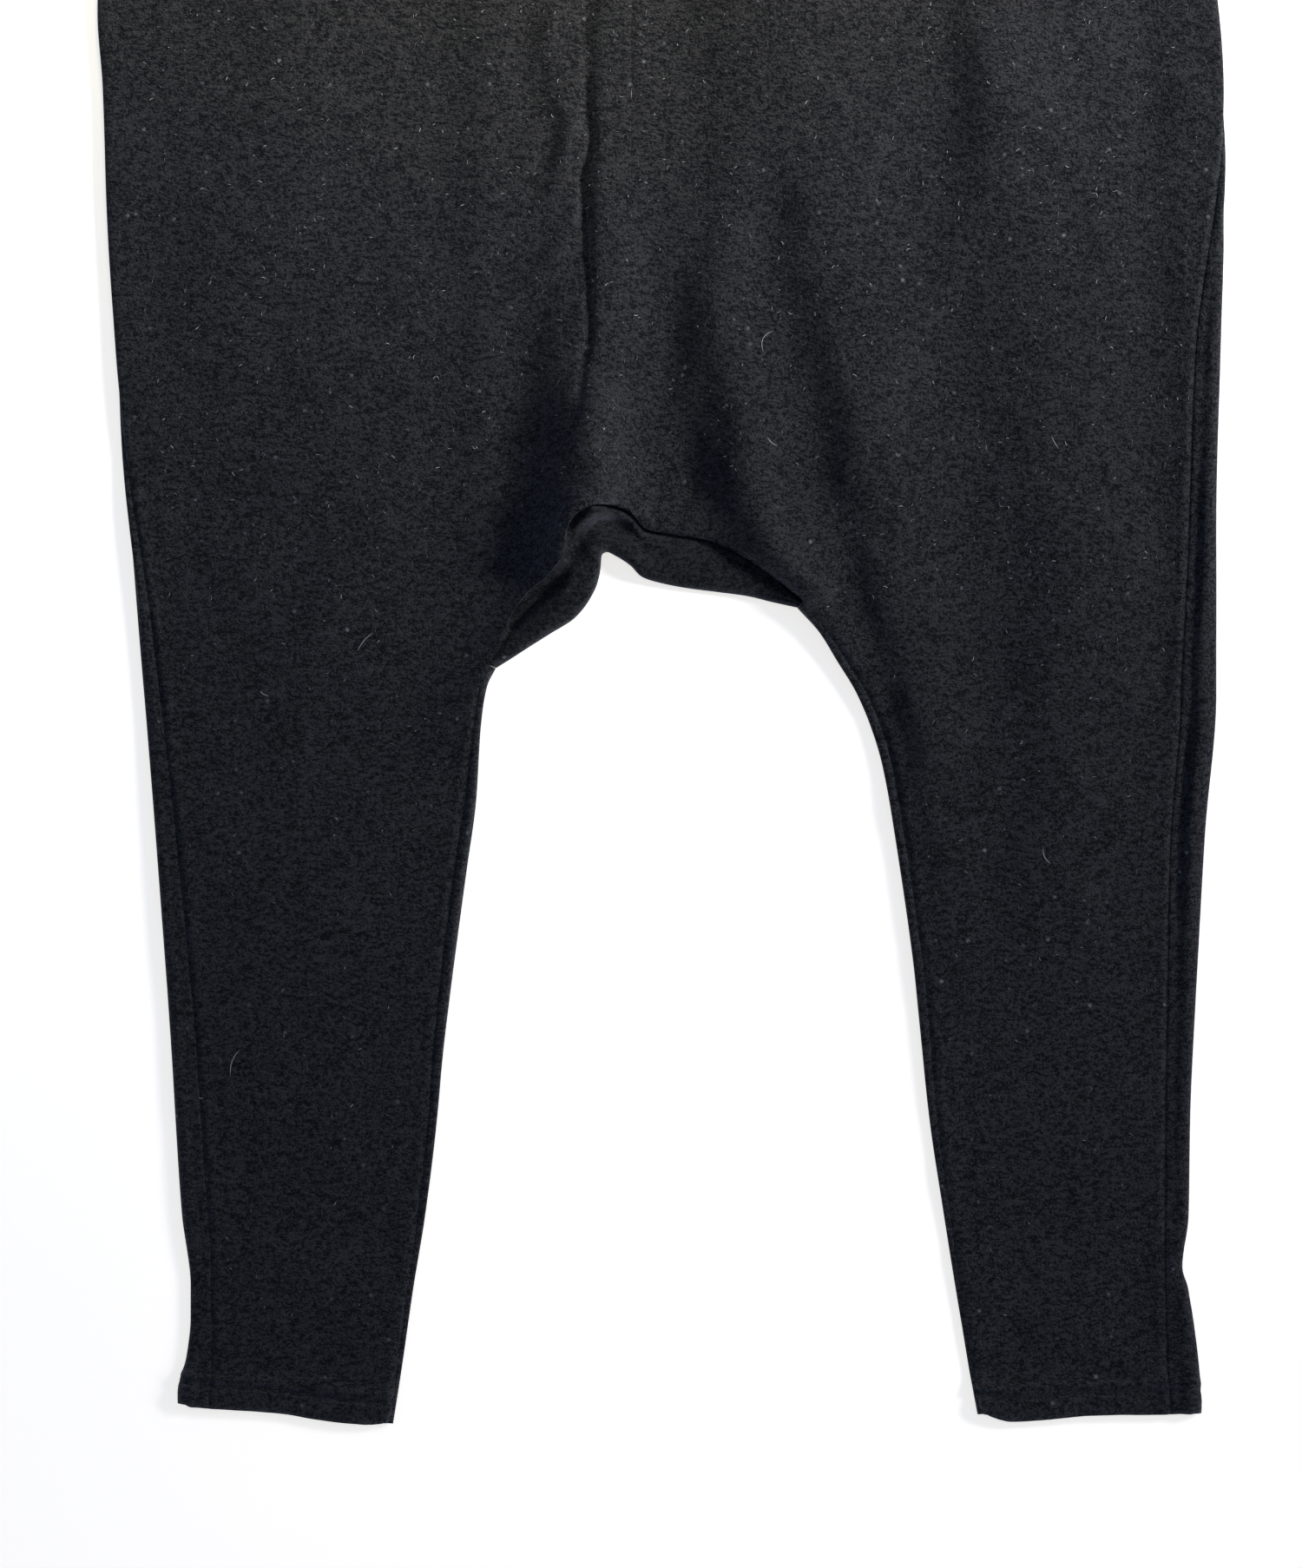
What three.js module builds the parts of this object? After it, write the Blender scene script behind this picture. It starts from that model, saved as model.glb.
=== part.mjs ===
// Harem pants in black brushed knit, laid out flat on a table with the front up.
// Millimetres. +X is the wearer's left, +Y points to the waist and +Z up off the table,
// with the origin on the table under the middle of the whole garment.
// The front panels lie on the back panels. The back panels turn over the side and inner
// folds, so the seams show on the front, and a gusset band joins the legs at the crotch.

import * as THREE from "three";

// Driving sizes
const CLOTH = 2; // thickness of the brushed knit
const SEAM_GAP = 0.3; // between two pieces at a seam
const LAYER_GAP = 1; // air between two layers that lie on each other
const FLAT = 2 * CLOTH + LAYER_GAP; // height of front and back laid flat
const FOLD_NOSE = 4.5; // how far the rounded nose of a fold reaches in from its edge
const HEM_DEPTH = 12; // width of the turned-up hem at the ankle
const HEM_EXTRA = 1.1; // what the turned-up layer adds to the wall, sewn down tight
const HEM_BLEND = 45; // how far up the leg the hem's uneven line is felt
const WAIST_TOP = 480.7; // top edge of the waistband
const BAND_HEIGHT = 40; // height of the elastic waistband
const BAND_WALL = 3.2; // two layers of cloth with the elastic between
const BAND_RISE = 0.9; // half height of the small gathers in the band
const BAND_BACK_RISE = 6; // the back of the waist stands this much higher than the front
const WAIST_SEAM = WAIST_TOP - BAND_HEIGHT; // where the panels meet the band
const GATHERS = 11; // soft gathers across the front below the band
const GATHER_RISE = 3.2; // how high they stand at the band
const GATHER_LENGTH = 130; // how far down they fade out
const TUCK_PROBE = 3; // how far round a tucked point the front's underside is felt
const TUCK_CLEAR = 0.5; // from the front's underside to the gusset tucked under it
const STEEPEST = 1.6; // most that a slope thickens the wall, measured upright
const HEM_STEP = 9; // how far above the hem's stitching the front starts to rise
const BACK_CROTCH_RISE = 7.6; // the back's centre seam ends this much higher than the front's
const BACK_RISE_FROM = 242; // where it starts to part from it
const BACK_RISE_LENGTH = 259.6;
const GUSSET_SEAM = 0.6; // gap from the gusset to the backs, measured along the slanting rows
const GUSSET_END = 0.02; // share of a row that keeps the gusset's ends clear of the leg folds
const LEFT = 1;
const RIGHT = -1;

// The rows of a table as objects with the columns' names.
function table(columns, rows) {
  return rows.map((row) => Object.fromEntries(columns.map((column, i) => [column, row[i]])));
}

// The side folds, from the waist seam to the hem: x is the outer edge of the cloth, and seam
// is how far the side seam lies from it along the cloth, on the front where it is positive.
const SIDE = {
  [LEFT]: [
    { y: 441, x: 180, seam: -2 },
    { y: 415, x: 208, seam: -2 },
    { y: 380, x: 235, seam: -2 },
    { y: 330, x: 260, seam: -2 },
    { y: 270, x: 278, seam: -2 },
    { y: 200, x: 285.4, seam: -1 },
    { y: 150, x: 286, seam: 5 },
    { y: 66, x: 283.8, seam: 15 },
    { y: -22, x: 281.6, seam: 16 },
    { y: -110, x: 281.6, seam: 20 },
    { y: -181, x: 275.9, seam: 19 },
    { y: -251, x: 271.9, seam: 16.5 },
    { y: -322, x: 268.4, seam: 14 },
    { y: -374, x: 267.5, seam: 13.5 },
    { y: -401, x: 264.4, seam: 10.5 },
    { y: -412, x: 267.3, seam: 13 },
    { y: -462, x: 273.7, seam: 18 },
    { y: -472, x: 274, seam: 18 },
  ],
  [RIGHT]: [
    { y: 441, x: -204, seam: -2 },
    { y: 415, x: -228, seam: -2 },
    { y: 380, x: -252, seam: -2 },
    { y: 330, x: -273, seam: -2 },
    { y: 270, x: -285, seam: -2 },
    { y: 235, x: -286, seam: -2 },
    { y: 198, x: -283.4, seam: -2 },
    { y: 132, x: -281.2, seam: -2 },
    { y: 66, x: -277.2, seam: -1 },
    { y: -1, x: -272.4, seam: 4 },
    { y: -66, x: -266.6, seam: 8.5 },
    { y: -130, x: -260.9, seam: 10.5 },
    { y: -198, x: -255.4, seam: 12.5 },
    { y: -286, x: -249, seam: 14 },
    { y: -374, x: -243.3, seam: 14.5 },
    { y: -410, x: -238.9, seam: 11.5 },
    { y: -427, x: -238.9, seam: 12 },
    { y: -445, x: -241.1, seam: 14 },
    { y: -459, x: -245.1, seam: 18 },
    { y: -467, x: -245.5, seam: 18 },
  ],
};

// The inner folds of the legs, from the ends of the gusset to the hem, in the same way.
const INSIDE = {
  [LEFT]: [
    { y: -66.4, x: 68.6, seam: 6 },
    { y: -79.6, x: 80.1, seam: 6 },
    { y: -93, x: 88.4, seam: 6 },
    { y: -110, x: 98.6, seam: 6.2 },
    { y: -128, x: 106, seam: 6.4 },
    { y: -146, x: 111.3, seam: 6.5 },
    { y: -181, x: 117.5, seam: 6.5 },
    { y: -251, x: 127.6, seam: 6.5 },
    { y: -322, x: 135.5, seam: 5 },
    { y: -374, x: 143.4, seam: 4 },
    { y: -445, x: 155.3, seam: 3 },
    { y: -472, x: 160.6, seam: 3 },
  ],
  [RIGHT]: [
    { y: -97.2, x: -84, seam: 6 },
    { y: -106, x: -88, seam: 6.5 },
    { y: -128, x: -91.1, seam: 7 },
    { y: -163, x: -93.3, seam: 7.5 },
    { y: -198, x: -98.1, seam: 8 },
    { y: -234, x: -103, seam: 8 },
    { y: -286, x: -109.6, seam: 7 },
    { y: -322, x: -113.1, seam: 6 },
    { y: -374, x: -119.7, seam: 5 },
    { y: -410, x: -125.8, seam: 4 },
    { y: -445, x: -131.1, seam: 3.5 },
    { y: -477, x: -136.4, seam: 3 },
  ],
};

// How far each hem dips below a straight line, across the leg from its inner fold to its side.
const HEM_DIP = {
  [LEFT]: [
    { across: 0, dip: 0 },
    { across: 0.06, dip: 4.6 },
    { across: 0.15, dip: 7 },
    { across: 0.28, dip: 6.2 },
    { across: 0.5, dip: 3.8 },
    { across: 0.95, dip: 3 },
    { across: 1, dip: 0 },
  ],
  [RIGHT]: [
    { across: 0, dip: 0 },
    { across: 0.05, dip: 3.4 },
    { across: 0.14, dip: 4.8 },
    { across: 0.3, dip: 4.6 },
    { across: 0.55, dip: 3 },
    { across: 0.93, dip: 3.8 },
    { across: 1, dip: 0 },
  ],
};

// The centre seams of front and back, from the waist seam to the crotch.
const CENTRE = [
  { y: 441, x: -12 },
  { y: 242, x: -15 },
  { y: -17.6, x: -16 },
];

// The crotch, from the left leg to the right: the lower edge of the fronts, the outer edge of
// the gusset band and its seam with the backs under it, how far the band is tucked under the
// front, the height of its fold and how fast it falls from the front's edge to that height.
const CROTCH = table(
  ["at", "frontX", "frontY", "edgeX", "edgeY", "backX", "backY", "tuck", "roll", "fall"],
  [
    [0, 72.6, -64.9, 68.6, -66.4, 81.8, -61.7, -0.4, 8, 1],
    [1, 62.9, -57, 56, -63.6, 66, -47, -0.4, 8, 1],
    [2, 51.9, -48.8, 43, -60.5, 50, -40, 2.5, 7.5, 1.4],
    [3, 36.5, -38.7, 28, -58.5, 33, -35, 2.5, 7.5, 1.4],
    [4, 21.1, -32.1, 14, -56.7, 17, -30, 2.5, 7.5, 1],
    [5, 5, -29.6, 1, -54.3, 4, -27, 2.5, 8, 1],
    [6, -7.5, -27, -9.7, -51, -7, -22, 2.5, 10, 1],
    [7, -12.5, -21.5, -16, -45, -13, -14, 2.5, 12.5, 1],
    [8, -16, -17.6, -22.9, -40.5, -18, -10, 2.5, 14, 1],
    [9, -24, -15.4, -27.5, -38.4, -27, -8, 2.5, 14.5, 1],
    [10, -33, -15.4, -30.2, -40, -36, -10, 2.5, 14, 1],
    [11, -42, -19.2, -30.9, -47, -46, -18, 2.5, 11, 1.5],
    [12, -47.8, -28, -32.4, -54, -54, -30, 2.5, 8.5, 2.5],
    [13, -49.6, -40.5, -36.5, -62.5, -59, -42, 2.5, 7, 3.5],
    [14, -57, -50.5, -44, -71.8, -65, -52, 2.5, 6.5, 4],
    [15, -67, -58.5, -56.5, -79.8, -73, -60, 2.5, 6.5, 4],
    [16, -75, -68.5, -67, -86.4, -82, -70, 2.5, 7, 3],
    [17, -80.5, -81, -76, -92.2, -90, -81, -0.4, 7.5, 1.5],
    [18, -87.9, -95.4, -84, -97.2, -96.7, -91.3, -0.4, 8, 1],
  ],
);
const CROTCH_CENTRE = 8; // the row of that table where the centre seams end

// The rows of each half, from waist to hem. Inner is a y on the centre seam, a place in the
// crotch table or a y on the leg's inner fold; side is the y where the row meets the side fold.
const ROWS = {
  [LEFT]: {
    centre: [
      { inner: 440.4, side: 440.4, steps: 4 },
      { inner: 330, side: 345, steps: 3 },
      { inner: 200, side: 240, steps: 3 },
      { inner: 80, side: 155, steps: 3 },
      { inner: -17.6, side: 92, steps: 0 },
    ],
    crotch: [
      { inner: 8, side: 92, steps: 4 },
      { inner: 4, side: 46, steps: 4 },
      { inner: 0, side: 10, steps: 0 },
    ],
    leg: [
      { inner: -66.4, side: 10, steps: 2 },
      { inner: -110, side: -60, steps: 3 },
      { inner: -181, side: -155, steps: 3 },
      { inner: -286, side: -280, steps: 3 },
      { inner: -401, side: -401, steps: 1 },
      { inner: -412, side: -412, steps: 2 },
      { inner: -459.4, side: -459.4, steps: 1 },
      { inner: -460.6, side: -460.6, steps: 2 },
      { inner: -472, side: -472, steps: 0 },
    ],
  },
  [RIGHT]: {
    centre: [
      { inner: 440.4, side: 440.4, steps: 4 },
      { inner: 330, side: 345, steps: 3 },
      { inner: 200, side: 240, steps: 3 },
      { inner: 80, side: 160, steps: 3 },
      { inner: -17.6, side: 100, steps: 0 },
    ],
    crotch: [
      { inner: 8, side: 100, steps: 5 },
      { inner: 13, side: 40, steps: 5 },
      { inner: 18, side: -10, steps: 0 },
    ],
    leg: [
      { inner: -97.2, side: -10, steps: 2 },
      { inner: -130, side: -75, steps: 3 },
      { inner: -198, side: -165, steps: 3 },
      { inner: -290, side: -280, steps: 3 },
      { inner: -395, side: -390, steps: 2 },
      { inner: -425, side: -420, steps: 2 },
      { inner: -464.4, side: -454.4, steps: 1 },
      { inner: -465.6, side: -455.6, steps: 2 },
      { inner: -477, side: -467, steps: 0 },
    ],
  },
};

// The largest folds of the front, each a soft ridge along a bent line from top to bottom:
// its three points, its height at each, and its half width towards -X and +X.
const RIDGES = table(
  ["name", "x0", "y0", "x1", "y1", "x2", "y2", "h0", "h1", "h2", "minusX", "plusX"],
  [
    ["centre ridge", -17, 300, -18, 120, -31, -18, 0, 9, 12, 9, 15],
    ["right of the valley", -88, 300, -74, 140, -93, -30, 1, 6, 7, 34, 15],
    ["right thigh", -185, 330, -175, 60, -170, -300, 1, 7, 1, 55, 60],
    ["first left fold", 54, 280, 38, 110, 88, -75, 0, 6, 4, 15, 15],
    ["second left fold", 72, 270, 118, 110, 138, -85, 2, 9, 4, 17, 34],
    ["left thigh", 190, 310, 200, 60, 205, -290, 1, 6, 1, 34, 40],
    ["crotch edge, left", -14, -21, 24, -26, 68, -60, 3, 6, 4, 13, 13],
    ["crotch edge, middle", -50, -44, -46, -8, -14, -18, 7, 3, 3, 12, 12],
    ["crotch edge, right", -50, -44, -76, -58, -84, -92, 7, 9, 2, 14, 14],
  ],
);
const RIDGE_STEPS = 12; // points along a ridge's line that the distance is measured to

// Where the columns of the cloth lie. Shares run from a seam, or from the front's inner edge,
// to the plain middle of the panel.
const FRONT_REACH = 24; // from the side fold to the front's plain middle
const INNER_REACH = 14; // the same from every other fold
const FRONT_COLUMNS = 14;
const BACK_COLUMNS = 4;
const FRONT_SHARES = [0, 0.14, 0.25, 0.36, 0.6, 1];
const INNER_SHARES = [0.72, 0.45, 0.2, 0];
const BACK_SHARES = [0, 0.16, 0.3, 0.42, 0.52, 0.62, 0.74, 1];
const BAND_GATHERS = 22; // small gathers across the band's front
const BAND_POINTS = 4 * BAND_GATHERS;
const BAND_BACK_POINTS = 6;
const BAND_END_POINTS = 6;
const BAND_CALM = 0.04; // share of the width at each end where the gathers die out
const BAND_LEVELS = [
  { level: 0, thinner: 0.7 },
  { level: 0.06, thinner: 0 },
  { level: 0.94, thinner: 0 },
  { level: 1, thinner: 0.7 },
];
const GUSSET_TOP = [0, 0.12, 0.35, 0.65];
const GUSSET_NOSE = [90, 54, 18, -18, -54, -90]; // degrees round the fold

function clamp(value, low, high) {
  return Math.min(high, Math.max(low, value));
}

function ease(t) {
  const s = clamp(t, 0, 1);
  return s * s * (3 - 2 * s);
}

// One column of a table at a value of its key: a smooth curve that never overshoots the rows.
function read(rows, key, column, value) {
  const down = rows[0][key] > rows.at(-1)[key];
  const k = rows.map((row) => (down ? -row[key] : row[key]));
  const c = rows.map((row) => row[column]);
  const v = clamp(down ? -value : value, k[0], k[k.length - 1]);
  let i = 0;
  while (i < k.length - 2 && v > k[i + 1]) i += 1;
  const slope = (j) => (c[j + 1] - c[j]) / (k[j + 1] - k[j]);
  const tangent = (j) => {
    if (j === 0) return slope(0);
    if (j === k.length - 1) return slope(j - 1);
    const product = slope(j - 1) * slope(j);
    return product > 0 ? (2 * product) / (slope(j - 1) + slope(j)) : 0;
  };
  const span = k[i + 1] - k[i];
  const t = (v - k[i]) / span;
  return (
    c[i] * (2 * t ** 3 - 3 * t ** 2 + 1) +
    tangent(i) * span * (t ** 3 - 2 * t ** 2 + t) +
    c[i + 1] * (3 * t ** 2 - 2 * t ** 3) +
    tangent(i + 1) * span * (t ** 3 - t ** 2)
  );
}

// A ridge's height over a point of the plan.
function ridgeHeight(ridge, x, y) {
  let best = { distance: Infinity };
  for (let i = 0; i <= RIDGE_STEPS; i += 1) {
    const t = i / RIDGE_STEPS;
    const s = 1 - t;
    const px = s * s * ridge.x0 + 2 * s * t * ridge.x1 + t * t * ridge.x2;
    const py = s * s * ridge.y0 + 2 * s * t * ridge.y1 + t * t * ridge.y2;
    const distance = Math.hypot(x - px, y - py);
    if (distance < best.distance) best = { distance, t, px, py };
  }
  const { t } = best;
  const s = 1 - t;
  // the tangent there tells how far off the line the point is, and on which side
  const tx = 2 * s * (ridge.x1 - ridge.x0) + 2 * t * (ridge.x2 - ridge.x1);
  const ty = 2 * s * (ridge.y1 - ridge.y0) + 2 * t * (ridge.y2 - ridge.y1);
  const length = Math.hypot(tx, ty);
  const off = ((x - best.px) * -ty + (y - best.py) * tx) / length;
  const along = ((x - best.px) * tx + (y - best.py) * ty) / length;
  const past = t === 0 ? Math.max(0, -along) : t === 1 ? Math.max(0, along) : 0;
  const width = off > 0 === ty < 0 ? ridge.plusX : ridge.minusX;
  const height = s * s * ridge.h0 + 2 * s * t * ridge.h1 + t * t * ridge.h2;
  return height * Math.exp(-((off / width) ** 2) - (past / width) ** 2);
}

// The outer surface of the front over a point of the plan, away from the hem.
function frontHeight(x, y) {
  const centre = read(CENTRE, "y", "x", y);
  const middle = (read(SIDE[LEFT], "y", "x", y) + read(SIDE[RIGHT], "y", "x", y)) / 2;
  const half = (read(SIDE[LEFT], "y", "x", y) - read(SIDE[RIGHT], "y", "x", y)) / 2;
  const toSide = half - Math.abs(x - middle);
  const calm = ease(toSide / 60); // the ridges die out before the side folds
  const folds = RIDGES.reduce((sum, ridge) => sum + ridgeHeight(ridge, x, y), 0);
  const phase = ((x - centre) / (2 * half)) * GATHERS * 2 * Math.PI;
  const fade = 1 - ease((WAIST_SEAM - y) / GATHER_LENGTH);
  const gathers = GATHER_RISE * fade * (0.5 + 0.5 * Math.cos(phase)) * ease(toSide / 15);
  return FLAT + folds * calm + gathers;
}

// The wall's thickness measured upright, which grows on a slope.
function uprightWall(x, y, wall) {
  const gx = (frontHeight(x + 1, y) - frontHeight(x - 1, y)) / 2;
  const gy = (frontHeight(x, y + 1) - frontHeight(x, y - 1)) / 2;
  return wall * Math.min(STEEPEST, Math.sqrt(1 + gx * gx + gy * gy));
}

// Half the gap at a seam that lies at q along the cloth. Round the nose of a fold it is wider
// outside, so that the inner faces keep the same gap.
function halfGap(q) {
  return (Math.abs(q) < FOLD_NOSE ? FOLD_NOSE / (FOLD_NOSE - CLOTH) : 1) * (SEAM_GAP / 2);
}

// Every row of one half: where it starts at the side fold and where it ends inside, on the
// front and on the back.
function rowsOf(half) {
  const rows = [];
  for (const [zone, stops] of Object.entries(ROWS[half])) {
    stops.slice(0, -1).forEach((from, i) => {
      for (let j = 0; j < from.steps; j += 1) {
        const place = between(from, stops[i + 1], j / from.steps);
        rows.push(makeRow(half, zone, place));
      }
    });
  }
  rows.push(makeRow(half, "leg", ROWS[half].leg.at(-1)));
  return rows;
}

function mix(from, to, t) {
  return from + (to - from) * t;
}

function between(from, to, t) {
  return { inner: mix(from.inner, to.inner, t), side: mix(from.side, to.side, t) };
}

function makeRow(half, zone, place) {
  const { inner } = place;
  const side = new THREE.Vector2(read(SIDE[half], "y", "x", place.side), place.side);
  const row = { half, zone, side, sideSeam: read(SIDE[half], "y", "seam", place.side) };
  if (zone === "centre") {
    const x = read(CENTRE, "y", "x", inner) + (half * SEAM_GAP) / 2;
    row.end = new THREE.Vector2(x, inner);
    const rise = BACK_CROTCH_RISE * ease((BACK_RISE_FROM - inner) / BACK_RISE_LENGTH);
    row.backEnd = new THREE.Vector2(x, inner + rise);
  } else if (zone === "crotch") {
    const apart = inner === CROTCH_CENTRE ? (half * SEAM_GAP) / 2 : 0;
    const at = (column) => read(CROTCH, "at", column, inner);
    row.end = new THREE.Vector2(at("frontX") + apart, at("frontY"));
    row.backEnd = new THREE.Vector2(at("backX") + apart, at("backY"));
  } else {
    row.end = new THREE.Vector2(read(INSIDE[half], "y", "x", inner), inner);
    row.backEnd = row.end;
    row.inseam = read(INSIDE[half], "y", "seam", inner);
    row.endToHem = inner - ROWS[half].leg.at(-1).inner;
    row.sideToHem = place.side - ROWS[half].leg.at(-1).side;
  }
  row.width = row.side.distanceTo(row.end);
  row.inwards = row.end.clone().sub(row.side).normalize();
  return row;
}

// What the hem does to a leg row at a distance in from the side fold: how far it dips, how
// thick the wall is, and how much higher the front lies.
function hemAt(row, inset) {
  if (row.zone !== "leg") return { dip: 0, thick: CLOTH, lift: 0 };
  const across = clamp(1 - inset / row.width, 0, 1);
  const above = row.endToHem + (row.sideToHem - row.endToHem) * across;
  return {
    dip: read(HEM_DIP[row.half], "across", "dip", across) * (1 - ease(above / HEM_BLEND)),
    thick: CLOTH + HEM_EXTRA * ease(HEM_DEPTH + 0.5 - above),
    lift: 2 * HEM_EXTRA * ease((HEM_DEPTH + HEM_STEP - above) / HEM_STEP),
  };
}

// The outer and inner points of the cloth over or under a point of the plan.
function layer(plan, hem, onTop) {
  const y = plan.y - hem.dip;
  const high = onTop ? frontHeight(plan.x, plan.y) + hem.lift : 0;
  const inside = onTop ? high - uprightWall(plan.x, plan.y, hem.thick) : hem.thick;
  return { outer: new THREE.Vector3(plan.x, y, high), inner: new THREE.Vector3(plan.x, y, inside) };
}

// The cloth at a distance in from the side fold, on top or underneath.
function flatPoint(row, inset, onTop) {
  return layer(row.side.clone().addScaledVector(row.inwards, inset), hemAt(row, inset), onTop);
}

// The cloth round a fold at a distance q along it from the outermost line: on top where q is
// positive and underneath where it is negative. The fold is the side one or the inner one.
function foldedPoint(row, atSide, q) {
  const base = atSide ? row.side : row.end;
  const towards = atSide ? row.inwards : row.inwards.clone().negate();
  const hem = hemAt(row, atSide ? FOLD_NOSE : row.width - FOLD_NOSE);
  const probe = base.clone().addScaledVector(towards, FOLD_NOSE);
  const radius = (frontHeight(probe.x, probe.y) + hem.lift) / 2;
  const quarter = (Math.PI / 2) * Math.sqrt((FOLD_NOSE ** 2 + radius ** 2) / 2);
  if (Math.abs(q) >= quarter) {
    const inset = FOLD_NOSE + Math.abs(q) - quarter;
    return flatPoint(row, atSide ? inset : row.width - inset, q > 0);
  }
  const angle = (q / quarter) * (Math.PI / 2);
  const at = (nose, high) => {
    const plan = base.clone().addScaledVector(towards, FOLD_NOSE - nose * Math.cos(angle));
    return new THREE.Vector3(plan.x, plan.y - hem.dip, radius + high * Math.sin(angle));
  };
  return {
    outer: at(FOLD_NOSE, radius),
    inner: at(FOLD_NOSE - hem.thick, radius - hem.thick),
  };
}

function frontPanel(half) {
  return wall(
    rowsOf(half).map((row) => {
      const sideSeam = row.sideSeam + halfGap(row.sideSeam);
      const line = FRONT_SHARES.map((share) =>
        foldedPoint(row, true, sideSeam + (FRONT_REACH - sideSeam) * share),
      );
      const reach = row.width - INNER_REACH;
      for (let i = 1; i <= FRONT_COLUMNS; i += 1)
        line.push(flatPoint(row, FRONT_REACH + ((reach - FRONT_REACH) * i) / FRONT_COLUMNS, true));
      const inseam = row.zone === "leg" ? row.inseam + halfGap(row.inseam) : 0;
      for (const share of INNER_SHARES) {
        const q = inseam + (INNER_REACH - inseam) * share;
        line.push(row.zone === "leg" ? foldedPoint(row, false, q) : flatPoint(row, row.width - q, true));
      }
      return line;
    }),
  );
}

function backPanel(half) {
  return wall(
    rowsOf(half).map((row) => {
      const folded = (atSide, seam) => {
        const q = seam - halfGap(seam);
        return BACK_SHARES.map((share) => foldedPoint(row, atSide, q - (q + INNER_REACH) * share));
      };
      const line = folded(true, row.sideSeam);
      const start = row.side.clone().addScaledVector(row.inwards, INNER_REACH);
      const end = row.backEnd.clone();
      if (row.zone === "leg") end.addScaledVector(row.inwards, -INNER_REACH);
      for (let i = 1; i <= BACK_COLUMNS; i += 1) {
        const plan = start.clone().lerp(end, i / BACK_COLUMNS);
        line.push(layer(plan, hemAt(row, plan.distanceTo(row.side)), false));
      }
      if (row.zone === "leg") line.push(...folded(false, row.inseam).reverse());
      return line;
    }),
  );
}

// A closed wall of cloth from a grid of outer and inner points, with its free edges closed.
// The lines of a grid may differ in length. A ring has no edge where its ends meet.
function wall(grid, isRing = false) {
  const positions = [];
  const faces = [];
  const numbers = new Map();
  const number = (point) => {
    if (!numbers.has(point)) {
      numbers.set(point, numbers.size);
      positions.push(point.x, point.y, point.z);
    }
    return numbers.get(point);
  };
  const quad = (a, b, c, d) => {
    faces.push(number(a), number(b), number(c), number(a), number(c), number(d));
  };
  const isCell = (r, c) =>
    Boolean(grid[r]?.[c] && grid[r][c + 1] && grid[r + 1]?.[c] && grid[r + 1][c + 1]);
  for (let r = 0; r < grid.length - 1; r += 1)
    for (let c = 0; c < grid[r].length - 1; c += 1) {
      if (!isCell(r, c)) continue;
      const [p, q, s, t] = [grid[r][c], grid[r + 1][c], grid[r + 1][c + 1], grid[r][c + 1]];
      quad(p.outer, q.outer, s.outer, t.outer);
      quad(t.inner, s.inner, q.inner, p.inner);
      if (!isRing && !isCell(r, c - 1)) quad(q.outer, p.outer, p.inner, q.inner);
      if (!isRing && !isCell(r, c + 1)) quad(t.outer, s.outer, s.inner, t.inner);
      if (!isCell(r - 1, c)) quad(p.outer, t.outer, t.inner, p.inner);
      if (!isCell(r + 1, c)) quad(s.outer, q.outer, q.inner, s.inner);
    }
  if (volume(positions, faces) < 0) faces.reverse();
  const geometry = new THREE.BufferGeometry();
  geometry.setAttribute("position", new THREE.Float32BufferAttribute(positions, 3));
  geometry.setIndex(faces);
  geometry.computeVertexNormals();
  return geometry;
}

function volume(positions, faces) {
  const corner = (i) => new THREE.Vector3().fromArray(positions, faces[i] * 3);
  let sum = 0;
  for (let i = 0; i < faces.length; i += 3)
    sum += corner(i).dot(corner(i + 1).cross(corner(i + 2))) / 6;
  return sum;
}

// The lowest that the front's underside comes close to some points of the plan.
function lowestUnder(points) {
  const offsets = [-TUCK_PROBE, 0, TUCK_PROBE];
  const heights = points.flatMap((p) =>
    offsets.flatMap((dx) =>
      offsets.map((dy) => frontHeight(p.x + dx, p.y + dy) - uprightWall(p.x + dx, p.y + dy, CLOTH)),
    ),
  );
  return Math.min(...heights);
}

// The gusset band: from under the front's edge out to its rounded fold, and back underneath.
function crotchGusset() {
  return wall(
    CROTCH.map((place) => {
      const isEnd = place.tuck < 0 && (place.at === 0 || place.at === CROTCH.length - 1);
      const at = isEnd ? Math.abs(place.at - GUSSET_END) : place.at;
      const get = (column) => read(CROTCH, "at", column, at);
      const front = new THREE.Vector2(get("frontX"), get("frontY"));
      const edge = new THREE.Vector2(get("edgeX"), get("edgeY"));
      const down = new THREE.Vector2(get("backX"), get("backY")).sub(edge);
      const up = front.clone().sub(edge);
      const reach = up.length() + get("tuck");
      const under = down.length() - GUSSET_SEAM;
      up.normalize();
      down.normalize();
      const tucked = edge.clone().addScaledVector(up, reach);
      const roll = get("roll");
      const tuckedHeight = place.tuck > 0 ? lowestUnder([tucked, front]) - TUCK_CLEAR : roll;
      const radius = roll / 2;
      const nose = Math.min(radius, reach - 0.4);
      const point = (plan, z) => new THREE.Vector3(plan.x, plan.y, z);
      const line = GUSSET_TOP.map((share) => {
        const plan = edge.clone().addScaledVector(up, reach + (nose - reach) * share);
        const z = roll + (tuckedHeight - roll) * (1 - share) ** get("fall");
        return { outer: point(plan, z), inner: point(plan, z - CLOTH) };
      });
      for (const degrees of GUSSET_NOSE) {
        const angle = THREE.MathUtils.degToRad(degrees);
        const direction = down.clone().lerp(up, (1 + Math.sin(angle)) / 2).normalize();
        const arc = (across, high) => {
          const plan = edge.clone().addScaledVector(direction, nose - across * Math.cos(angle));
          return point(plan, radius + high * Math.sin(angle));
        };
        line.push({ outer: arc(nose, radius), inner: arc(nose - CLOTH, radius - CLOTH) });
      }
      const seam = edge.clone().addScaledVector(down, under);
      line.push({ outer: point(seam, 0), inner: point(seam, CLOTH) });
      return line;
    }),
  );
}

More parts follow.
